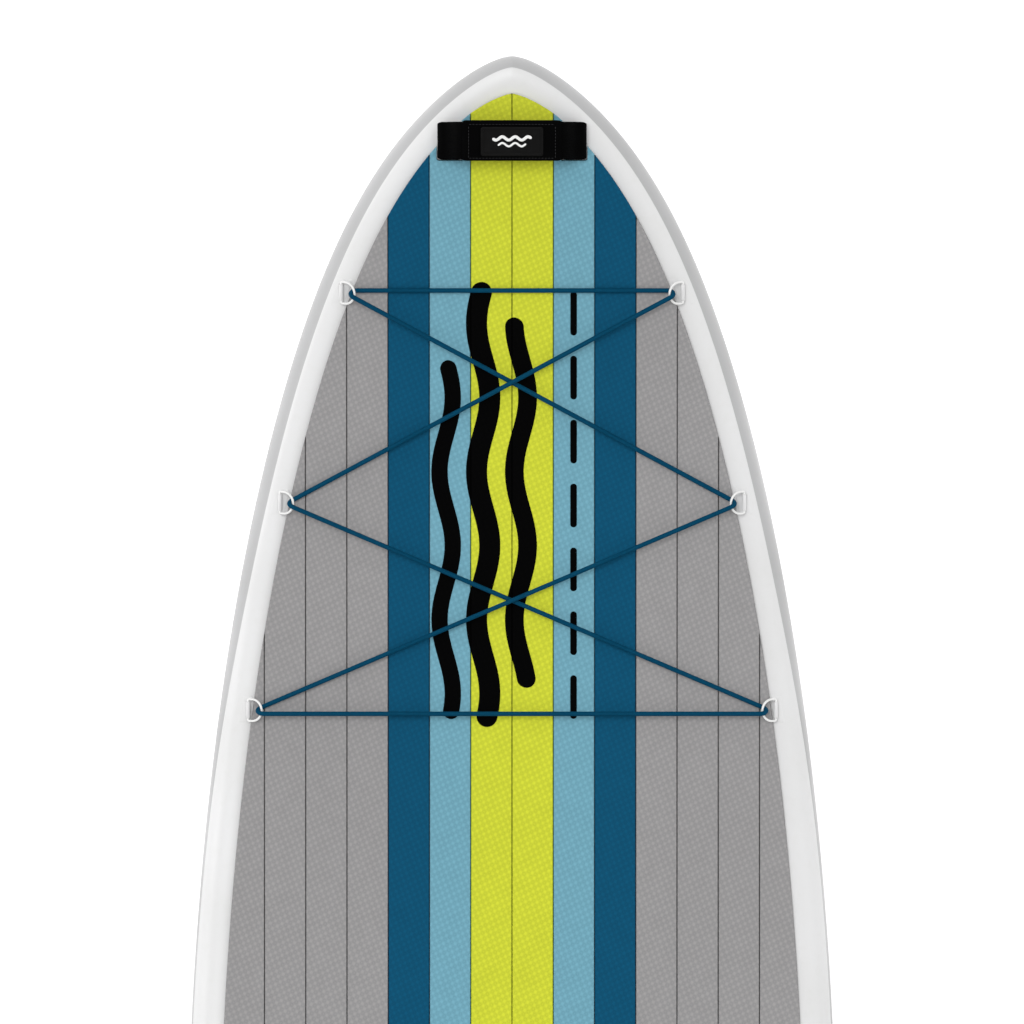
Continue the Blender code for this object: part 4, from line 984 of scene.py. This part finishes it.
def handle_path(half):
    """The strap's middle line: a foot, its fold, the run under the sleeve and the other foot."""
    foot = PATCH_GAP + PATCH_THICK + GAP + WEBBING_THICK / 2
    turn = half - STRAP_FOLD - 0.001
    side = [(half - 0.027, foot), (turn - 0.006, foot)]
    for step in range(13):
        angle = math.pi * (step / 12 - 0.5)
        side.append((turn + STRAP_FOLD * math.cos(angle), foot + STRAP_FOLD * (1 + math.sin(angle))))
    top = foot + 2 * STRAP_FOLD
    side += [(turn - 0.003, top + 0.0006), (half - 0.015, top + 0.004)]
    side += [(SLEEVE_HALF + x, HANDLE_RISE - z) for x, z in ((0.010, 0.0065), (0.004, 0.0012), (-0.004, 0.0))]
    both = side + [(-x, z) for x, z in reversed(side)]
    return [(p.x, p.y) for p in chaikin([(x, z, 0) for x, z in both], 2)]


def strap(word, half, place):
    """Woven strap along the handle's line, its corners rounded where it folds."""
    path = handle_path(half)
    rows = []
    for i, (x, z) in enumerate(path):
        x0, z0 = path[max(i - 1, 0)]
        x1, z1 = path[min(i + 1, len(path) - 1)]
        across = Vector((z1 - z0, 0.0, x0 - x1)) / math.hypot(x1 - x0, z1 - z0)
        near = max(0.0, abs(x) - (half - STRAP_CORNER))
        corner = STRAP_CORNER - math.sqrt(max(STRAP_CORNER**2 - near**2, 0.0))
        section = rounded(WEBBING / 2 - 0.55 * corner, WEBBING_THICK / 2, WEBBING_THICK / 2 - 0.0002, 4)
        rows.append([tuple(Vector((x, v, z)) + across * u) for v, u in section])
    lean = math.tan(slope(place.translation.y))
    shear = Matrix.Identity(4)
    shear[1][2], shear[1][3] = lean, -lean * LEAN_FROM
    skin = Skin().tube(rows)
    piece(f"{word}_handle_webbing", skin, "black_webbing", f"{word}_handle_strap", place=place @ shear)


def sleeve(word, place):
    """A padded neoprene sleeve: full in the middle, drawn in at its bound ends."""
    rows = []
    steps = 44
    for i in range(steps + 1):
        x = SLEEVE_HALF * (2 * i / steps - 1)
        near = min(1.0, (SLEEVE_HALF - abs(x)) / SLEEVE_BIND)
        full = math.sqrt(max(0.0, 1 - (1 - near) ** 2))
        half_z = SLEEVE_END_Z + (SLEEVE_Z - SLEEVE_END_Z) * full
        ring = rounded(SLEEVE_Y - SLEEVE_DRAW * (1 - full), half_z, min(SLEEVE_ROUND, half_z - 0.0003))
        rows.append([(x, v, HANDLE_RISE + w) for v, w in ring])
    inner = rounded(WEBBING / 2 + 0.0006, WEBBING_THICK / 2 + 0.0006, 0.0005)
    rows += [[(x, v, HANDLE_RISE + w) for v, w in inner] for x in (SLEEVE_HALF, -SLEEVE_HALF)]
    skin = Skin().grid(rows, around=True, closed=True)
    node = f"{word}_handle_sleeve"
    made = piece(f"{word}_handle_grip", skin, "black_neoprene", node, place=place, sharp=50)


def sleeve_stitches(word, place):
    """Raised stitches along the four edges of the sleeve's top."""
    edge_x, edge_y = SLEEVE_HALF - 0.0080, SLEEVE_Y - 0.0042
    up = Vector((0, 0, 1))
    skin = Skin()
    for sign in (-1, 1):
        for way, reach, aside in ((Vector((1, 0, 0)), edge_x, (0, sign * edge_y, HANDLE_RISE + SLEEVE_Z)),
                                  (Vector((0, 1, 0)), edge_y, (sign * edge_x, 0, HANDLE_RISE + SLEEVE_Z))):
            side = up.cross(way)
            for number in range(int(2 * reach / STITCH_PITCH)):
                middle = Vector(aside) + way * (STITCH_PITCH * (number + 0.5) - reach)
                rows = []
                for step in range(7):
                    bow = math.sin(math.pi * step / 6)
                    centre = middle + way * (step / 6 - 0.5) * STITCH_LONG + up * STITCH_THICK * (bow - 0.3)
                    section = circle(STITCH_THICK * (0.25 + 0.75 * bow**0.5), 8)
                    rows.append([tuple(centre + side * u + up * v) for u, v in section])
                skin.tube(rows)
    piece(f"{word}_handle_stitches", skin, "black_webbing", place=place, look="thread", sharp=60)


def badge(place):
    """A moulded rubber badge: a raised rim round a sunk field, with two plain waves in white."""
    rings = []
    for inset, z in ((0.0, BADGE_LOW), (0.0, BADGE_HIGH - 0.0005), (0.00018, BADGE_HIGH - 0.00015),
                     (0.0006, BADGE_HIGH), (BADGE_RIM - 0.0006, BADGE_HIGH),
                     (BADGE_RIM - 0.00015, BADGE_HIGH - 0.0002), (BADGE_RIM, BADGE_FIELD)):
        loop = rounded(BADGE_X - inset, BADGE_Y - inset, max(0.0035 - inset, 0.0008))
        rings.append([(x, y, z) for x, y in loop])
    skin = Skin().tube(rings)
    piece("handle_badge", skin, "black_rubber", "front_handle_badge", place=place, sharp=45)
    section = ((-1, 0.0), (-1, 0.0005), (-0.7, 0.0007), (0.7, 0.0007), (1, 0.0005), (1, 0.0))
    skin = Skin()
    for y, long, thick in ((0.0042, 0.050, 0.0019), (-0.0040, 0.036, 0.0013)):
        rows = []
        for share, half in zip(*tapered(long, thick, 60)):
            x = (share - 0.5) * long
            bend = 2 * math.pi * x / BADGE_WAVE
            centre = Vector((x, y + BADGE_SWAY * math.sin(bend), BADGE_FIELD))
            way = Vector((1, BADGE_SWAY * math.cos(bend) * 2 * math.pi / BADGE_WAVE, 0)).normalized()
            side = Vector((-way.y, way.x, 0)) * float(half)
            rows.append([tuple(centre + side * u + Vector((0, 0, height))) for u, height in section])
        skin.tube(rows)
    piece("handle_badge_waves", skin, "white_nylon", place=place)


def handles():
    for word, half, place in (("front", FRONT_HANDLE_HALF, FRONT_HANDLE),
                              ("centre", CENTRE_HANDLE_HALF, CENTRE_HANDLE)):
        upright = math.tan(slope(place.translation.y)) * (HANDLE_RISE - LEAN_FROM)
        above = place @ move(0, upright, 0)
        strap(word, half, place)
        sleeve(word, above)
        sleeve_stitches(word, above)
        if word == "front":
            badge(above)
    foot = rounded(FOOT_HALF, WEBBING / 2 - 0.002, 0.003)
    base = rounded(CENTRE_HANDLE_HALF + 0.006, WEBBING / 2 + 0.003, 0.006)
    for name, node, loop, place in (
        ("front_handle_foot_left", "front_handle_patch_left", foot, front_foot(-1)),
        ("front_handle_foot_right", "front_handle_patch_right", foot, front_foot(1)),
        ("centre_handle_base", "centre_handle_patch", base, CENTRE_HANDLE),
    ):
        piece(name, slab(loop, PATCH_GAP, PATCH_GAP + PATCH_THICK), "white_pvc", node, place=place)


# D-rings and the bungee

PIVOTS = {joint["name"]: Vector(joint["pos_m"]) for joint in frame["joints"] if "pos_m" in joint}
BARS = {word: PIVOTS[f"d_ring_{word}_hinge"] for word in RING_WORDS}


def hand(bar):
    """1 for a ring on the right and -1 for one on the left."""
    return 1 if bar.x > 0 else -1


def bar_frame(bar):
    """A bar's frame: X points inboard and level, Y runs along the bar and Z is up."""
    return move(*bar) @ spin(slope(bar.y), "X") @ spin(math.pi if bar.x > 0 else 0.0, "Z")


def ring_tilt(bar):
    """How far a ring is held up at rest by the cord under its bow."""
    bow = DECK + rocker(bar.y) + PAD_TOP + CORD_CLEAR + CORD_R + WRAP_R
    return math.asin((bow - bar.z) / RING_DEPTH)


def arc(x, y, radius, start, end, steps):
    """Points along an arc about (x, y), from start to end in quarter turns."""
    turns = [math.pi / 2 * (start + (end - start) * step / steps) for step in range(steps + 1)]
    return [(x + radius * math.cos(turn), y + radius * math.sin(turn), 0) for turn in turns]


def d_ring():
    """A D of round wire with rounded corners."""
    side = RING_HALF - RING_CORNER
    path = arc(RING_CORNER, -side, RING_CORNER, 2, 3, 6)
    path.append((RING_ARM * 0.7, -RING_HALF, 0))
    path += arc(RING_ARM, 0, RING_HALF, -1, 1, 32)
    path.append((RING_ARM * 0.7, RING_HALF, 0))
    path += arc(RING_CORNER, side, RING_CORNER, 1, 2, 6)
    return Skin().grid(tube_rows(path, WIRE_R, 16, closed=True), around=True, closed=True)


def tab(height_at, lean=0.0, reach=PATCH_X):
    """A glued patch that follows the hull, with the loop that holds a ring's bar."""
    low, high = -0.95 * PATCH_GAP, -0.15 * PATCH_GAP
    inner = (0.95, 0.8, 0.6, 0.4, 0.2)
    levels = [(inset, low) for inset in (*inner, 0.0)] + [(0.02, (low + high) / 2), (0.06, high)]
    levels += [(inset, high) for inset in reversed(inner)]
    rows = []
    for inset, z in levels:
        ring = []
        for u, v in rounded(1.0, 1.0, 0.30):
            y = v * PATCH_Y * (1 - inset)
            x = (u * (1 - inset) + 1) / 2 * (reach + PATCH_X) - PATCH_X + lean * y
            ring.append((x, y, height_at(x, y) + z))
        rows.append(ring)
    skin = Skin().grid(rows, around=True)
    x = (reach - PATCH_X) / 2
    for row, z in ((rows[0], low), (rows[-1], high)):
        for pair in zip(row, row[1:] + row[:1]):
            skin.face([*pair, (x, 0.0, height_at(x, 0.0) + z)])
    foot = 0.6 * PATCH_GAP - BAR_HEIGHT
    rows = []
    for y, size in ((-TAB_HALF, 0.9), (-TAB_HALF + 0.0004, 1.0), (TAB_HALF - 0.0004, 1.0), (TAB_HALF, 0.9)):
        ring = []
        for c, s in circle(1, 40):
            x, z = TAB_R * size * c, TAB_R * size * s
            if s < -0.35:
                flare = 1 + 0.25 * min(1.0, (-s - 0.35) / 0.5)
                x, z = math.copysign(TAB_R * 0.9 * flare * min(1.0, abs(c) * 2.2), c), foot
            ring.append((x, y, z))
        rows.append(ring)
    rows += [[(x, y, z) for x, z in circle(TAB_BORE_R, 40)] for y in (TAB_HALF, -TAB_HALF)]
    return skin.grid(rows, around=True, closed=True)


def edge_lean(y):
    """How fast the outline widens towards the tail at y."""
    ahead, behind = (np.interp(-y + step, -EDGE[:, 1], EDGE[:, 0]) for step in (-0.01, 0.01))
    return float(behind - ahead) / 0.02


def deck_rings():
    for word, bar in BARS.items():
        place = bar_frame(bar)
        tilted = place @ spin(-ring_tilt(bar), "Y")
        piece(f"{word}_ring", d_ring(), "white_nylon", f"d_ring_{word}", f"ring_{word}", tilted, sharp=60)

        def height_at(x, y, place=place):
            point = place @ Vector((x, y, 0.0))
            return (deck_height(point.x, point.y) + PATCH_GAP - point.z) / place[2][2]

        lean = edge_lean(bar.y)
        reach = (RAIL_REACH - edge_inset(bar.x, bar.y)) * math.hypot(1, lean) - PATCH_CLEAR
        shape = tab(height_at, -hand(bar) * lean, min(reach, PATCH_X))
        piece(f"{word}_ring_tab", shape, "white_pvc", f"d_ring_patch_{word}", place=place, sharp=45)


def wrap(bar, steps=48):
    """The cord's points round a ring's bow: under it, up outboard of it, and back over it."""
    place = bar_frame(bar)
    tilt = ring_tilt(bar)
    points = []
    for step in range(steps + 1):
        angle = math.radians(-95 - 170 * step / steps)
        sway = -hand(bar) * CORD_SPREAD * (1 - 2 * step / steps)
        bow = RING_ARM + math.sqrt(RING_HALF**2 - sway**2)
        x = bow * math.cos(tilt) + WRAP_R * math.cos(angle)
        z = bow * math.sin(tilt) + WRAP_R * math.sin(angle)
        points.append(place @ Vector((x, sway, z)))
    return points


def crossing(start, end, lift):
    """Points of a strand that passes over or under another one on the centreline."""
    middle = start.lerp(end, start.x / (start.x - end.x))
    along = (end - start).normalized()
    return [middle + along * reach + Vector((0.0, 0.0, lift * share)) for reach, share in
            ((-0.05, 0.0), (-0.02, 0.75), (-0.006, 1.0), (0.006, 1.0), (0.02, 0.75), (0.05, 0.0))]


def cord_route():
    """The closed line of the bungee, round the six rings, in even steps."""
    half = CORD_R + GAP / 2
    route = wrap(BARS["front_right"])
    for word, lift, backwards in (
        ("middle_left", half, False),
        ("rear_right", -half, False),
        ("rear_left", 0.0, True),
        ("middle_right", half, True),
        ("front_left", -half, True),
    ):
        loop = wrap(BARS[word])[::-1 if backwards else 1]
        if lift:
            route += crossing(route[-1], loop[0], lift)
        route += loop
    ring = np.array([tuple(p) for p in [*route, route[0]]])
    reach = np.concatenate([[0], np.cumsum(np.linalg.norm(np.diff(ring, axis=0), axis=1))])
    marks = np.linspace(0, reach[-1], int(reach[-1] / CORD_STEP), endpoint=False)
    even = np.stack([np.interp(marks, reach, ring[:, axis]) for axis in range(3)], 1)
    for _ in range(5):
        even = 0.25 * np.roll(even, 1, 0) + 0.5 * even + 0.25 * np.roll(even, -1, 0)
    return even


def bungee():
    """The cord in six pieces, one for each ring, which meet on the centreline."""
    route = cord_route()
    route = np.roll(route, -int(np.argmin(np.abs(route[:, 0]))), 0)
    rows = np.array(tube_rows(route, CORD_R, 12, closed=True))
    rows = np.concatenate([rows, rows[:1]])
    line = np.concatenate([route, route[:1]])
    inside = range(SEAM_APART, len(line) - SEAM_APART)
    seams = [i for i in inside if line[i - 1][0] * line[i][0] < 0]
    for first, last in zip([0, *seams], [*seams, len(line) - 1]):
        part = line[first:last + 1]
        far = part[np.argmax(np.abs(part[:, 0]))]
        word = min(BARS, key=lambda name: np.linalg.norm(np.array(BARS[name]) - far))
        bar = BARS[word]
        near = np.abs(part[:, 0]) > abs(bar.x) - CORD_FINE
        keep = [i for i in range(len(part)) if near[i] or i % CORD_SKIP == 0 or i == len(part) - 1]
        shape = Skin().tube(rows[first:last + 1][keep])
        made = piece(f"bungee_{word}", shape, "blue_cord", "bungee_cord", None, sharp=60)
        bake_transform(made)


def flat_hull(x, y):
    """The hull's height below a bar where the patch lies flat."""
    return PATCH_GAP - BAR_HEIGHT


def end_rings():
    """The leash ring on the tail and the towing ring under the nose, with their patches."""
    leash, tow = PIVOTS["leash_ring_hinge"], PIVOTS["tow_ring_hinge"]
    right = math.pi / 2
    flat = move(*leash) @ spin(slope(leash.y), "X") @ spin(-right, "Z")
    hang = move(*tow) @ spin(right, "Z") @ spin(right, "Y")
    under = move(*tow) @ spin(math.pi + slope(tow.y), "X") @ spin(right, "Z")
    for word, node, ring_place, tab_place in (
        ("tail_leash", "leash_ring", flat @ spin(LEASH_DROOP, "Y"), flat),
        ("nose_tow", "tow_ring", hang, under),
    ):
        piece(f"{word}_ring", d_ring(), "stainless_steel", node, f"{node}_body", ring_place, sharp=60)
        piece(f"{word}_tab", tab(flat_hull), "white_pvc", f"{node}_patch", place=tab_place, sharp=45)


# Inflation valve


def valve(deck):
    place = on_deck(NOSE_Y - VALVE_STATION)
    cut(deck, [slab(circle(BARREL_R + 0.0006, 48), -0.02, 0.02).mesh(place=place)])
    profile = [
        (FLANGE_R, PATCH_GAP), (FLANGE_R, FLANGE_TOP - 0.0015), (FLANGE_R - 0.0025, FLANGE_TOP),
        (0.0265, FLANGE_TOP), (0.0265, FLANGE_TOP - 0.0004), (0.0258, FLANGE_TOP - 0.0004),
        (0.0258, FLANGE_TOP), (CUP_R, FLANGE_TOP), (CUP_R, SEAT_TOP), (SEAT_R, SEAT_TOP),
        (SEAT_R, SEAT_BOTTOM), (CHAMBER_R, SEAT_BOTTOM), (CHAMBER_R, BARREL_END),
        (BARREL_R - 0.002, BARREL_END), (BARREL_R - 0.002, -0.009), (BARREL_R, -0.009), (BARREL_R, PATCH_GAP),
    ]
    skin = turned(softened(profile, 0.0004), 96)
    hub_end = SEAT_TOP + 0.0005
    hub = [(HUB_BORE_R, CUP_FLOOR), (HUB_BORE_R, hub_end), (HUB_R, hub_end), (HUB_R, CUP_FLOOR)]
    turned(softened(hub, 0.0003), 48, skin)
    section = ((-1, 0.0035), (1, 0.0035), (1, 0.0005), (-1, 0.0005))
    for i in range(3):
        turn = spin(2 * math.pi * i / 3 + SPOKE_TURN, "Z")
        skin.tube([[tuple(turn @ Vector((reach, SPOKE_HALF * u, CUP_FLOOR - drop))) for u, drop in section]
                   for reach in (HUB_R - 0.001, CUP_R + 0.001)])
    piece("valve_housing", skin, "white_plastic", "valve_body", place=place)

    low, high = CUP_FLOOR + SPRING_WIRE_R + GAP, SPRING_TOP - SPRING_WIRE_R - GAP
    ring = circle(SPRING_R, 28)
    steps = SPRING_TURNS * len(ring)
    coil = [(*ring[i % len(ring)], low + (high - low) * i / steps) for i in range(steps + 1)]
    skin = Skin().tube(tube_rows(coil, SPRING_WIRE_R, 10))
    spring = piece("valve_return_spring", skin, "stainless_steel", "valve_spring", place=place, sharp=60)
    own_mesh(spring)

    poppet = SEAT_BOTTOM - 0.0026
    stem = [
        (0.0, -0.0021), (0.0030, -0.0021), (0.0036, -0.0015), (0.0050, -0.0015), (0.006, -0.0025),
        (0.006, -0.005), (0.0024, -0.005), (0.0024, poppet), (0.0122, poppet), (0.0122, poppet - 0.002),
        (0.010, poppet - 0.003), (0.0, poppet - 0.003),
    ]
    skin = turned(softened(stem, 0.0003), 48)
    piece("valve_plunger_stem", skin, "white_plastic", "valve_stem", "valve_plunger", place)
    seal = [(r, SEAL_LOW) for r in (0.0172, 0.0225)] + [(r, SEAL_LOW + SEAL_THICK) for r in (0.0225, 0.0172)]
    skin = turned(softened(seal, 0.0004))
    piece("valve_cap_gasket", skin, "black_rubber", "valve_cap_seal", "cap_seal", place)
    valve_cap(place)


def valve_cap(place):
    """The screw cap: a domed disc with a ribbed rim, a grip bar across it and a skirt that plugs the cup."""
    profile = [
        (0.0, CAP_LOW), (0.0130, CAP_LOW), (0.0130, 0.0008), (0.0154, 0.0008), (0.0154, CAP_LOW),
        (CAP_R, CAP_LOW), (CAP_R, CAP_LOW + 0.003), (0.0235, CAP_LOW + 0.004), (0.0205, CAP_LOW + 0.004),
        (0.0200, CAP_LOW + 0.0034), (0.0, CAP_LOW + 0.0034),
    ]
    rows = []
    for i, (c, s) in enumerate(circle(1, CAP_SIDES)):
        rib = 1 - RIB_DEPTH * (1 + math.cos(2 * math.pi * CAP_RIBS * i / CAP_SIDES))
        sized = [(r * rib if r > RIB_FROM else r, z) for r, z in softened(profile, 0.00035)]
        rows.append([(r * c, r * s, z) for r, z in sized])
    skin = Skin().grid(rows, around=True, closed=True)
    slab(rounded(0.019, 0.0028, 0.0014), CAP_LOW + 0.003, CAP_LOW + 0.009, 0.0009, skin)
    piece("valve_screw_cap", skin, "white_plastic", "valve_cap", "cap", place, sharp=40)


# Fins


def foil_rows(root, tip_rear, depth, thick, top, steps=36):
    """Rings of a swept fin: a rounded lens section that shrinks and moves back towards the tip."""
    root_front, root_rear = root
    rows = []
    for step in range(steps + 1):
        share = 1 - (1 - step / steps) ** 1.5
        front = root_front + (tip_rear + TIP_CHORD - root_front) * share**1.6
        rear = root_rear + (tip_rear - root_rear) * share**1.2
        close = min(1.0, (1 - share) / 0.03)
        round_off = math.sqrt(max(1 - (1 - close) ** 2, 0.0004))
        middle = (front + rear) / 2
        front, rear = middle + (front - middle) * round_off, middle + (rear - middle) * round_off
        half = thick / 2 * (1 - 0.7 * share) * round_off
        ring = []
        for i, (c, s) in enumerate(circle(1, 40)):
            back = (1 - c) / 2
            shape = 2.9 * math.sqrt(back) * (1 - back) ** 0.9 * 0.72 if back < 1 else 0.0
            side = math.copysign(min(shape, 1.0), s) * half if i else 0.0
            ring.append((side, front + (rear - front) * back, top - (depth + top) * share))
        rows.append(ring)
    return rows


def fins():
    place = move(0, NOSE_Y - FIN_STATION, HULL_BOTTOM)
    low = -BOX_HEIGHT - BOX_GAP
    skin = Skin().tube(foil_rows(FIN_ROOT, FIN_TIP, FIN_DEPTH - low, FIN_THICK, low - GAP))
    for rear, front, bottom, top in ((-0.085, 0.075, low - 0.0012, -0.006), (0.070, 0.105, -0.0205, -0.0165)):
        loop = [(x, y + (front + rear) / 2) for x, y in rounded(TONGUE_HALF, (front - rear) / 2, 0.002)]
        slab(loop, bottom, top, 0.0003, skin)
    made = piece("swept_centre_fin", skin, "black_nylon", "centre_fin", "fin", place)
    hole = place @ move(0, SCREW_Y, 0)
    cut(made, [slab(circle(SCREW_HOLE_R, 32), -0.03, 0.0).mesh(place=hole)])
    spot = place @ move(0, PIN_Y, PIN_Z) @ spin(math.pi / 2, "Y")
    pin = slab(circle(PIN_R, 24), -PIN_HALF, PIN_HALF, 0.0003)
    piece("centre_fin_pin", pin, "black_nylon", body="fin", place=spot, look="stainless_steel")
    for side, word in ((-1, "left"), (1, "right")):
        lean = spin(-SIDE_FIN_LEAN * side, "Y")
        spot = move(side * SIDE_FIN_X, NOSE_Y - SIDE_FIN_STATION, HULL_BOTTOM)
        rows = foil_rows(SIDE_FIN_ROOT, SIDE_FIN_TIP, SIDE_FIN_DEPTH, SIDE_FIN_THICK, -0.002, 24)
        skin = Skin().tube([[tuple(lean @ Vector(point)) for point in row] for row in rows])
        slab(rounded(0.021, 0.072, 0.018, 12), -0.0035, -BOX_GAP, 0.0010, skin)
        piece(f"{word}_side_fin", skin, "black_nylon", f"side_fin_{word}", place=spot)


def carried():
    """Better materials, and softened edges, for the CAD nodes whose shape is kept."""
    kept = {
        "drop_stitch_core": ("base_cloth", 0.0), "side_wall": ("base_cloth", 0.0),
        "valve_nut": ("white_plastic", 0.0004), "valve_seal": ("black_rubber", 0.0003),
        "fin_box": ("black_nylon", 0.0006), "fin_nut_plate": ("stainless_steel", 0.0003),
        "fin_screw": ("stainless_steel", 0.0002),
    }
    for node, (look, edge) in kept.items():
        item = frame["nodes"][node]
        item.data.materials.clear()
        item.data.materials.append(LOOKS[look])
        if edge:
            soft = item.modifiers.new("edges", "BEVEL")
            soft.width = edge
            soft.segments = 2
            soft.limit_method = "ANGLE"
            soft.angle_limit = math.radians(50)


stage()
DECK_SHEET = hull_shell()
deck_pad()
deck_print()
handles()
deck_rings()
bungee()
end_rings()
valve(DECK_SHEET)
fins()
carried()
bpy.context.view_layer.update()
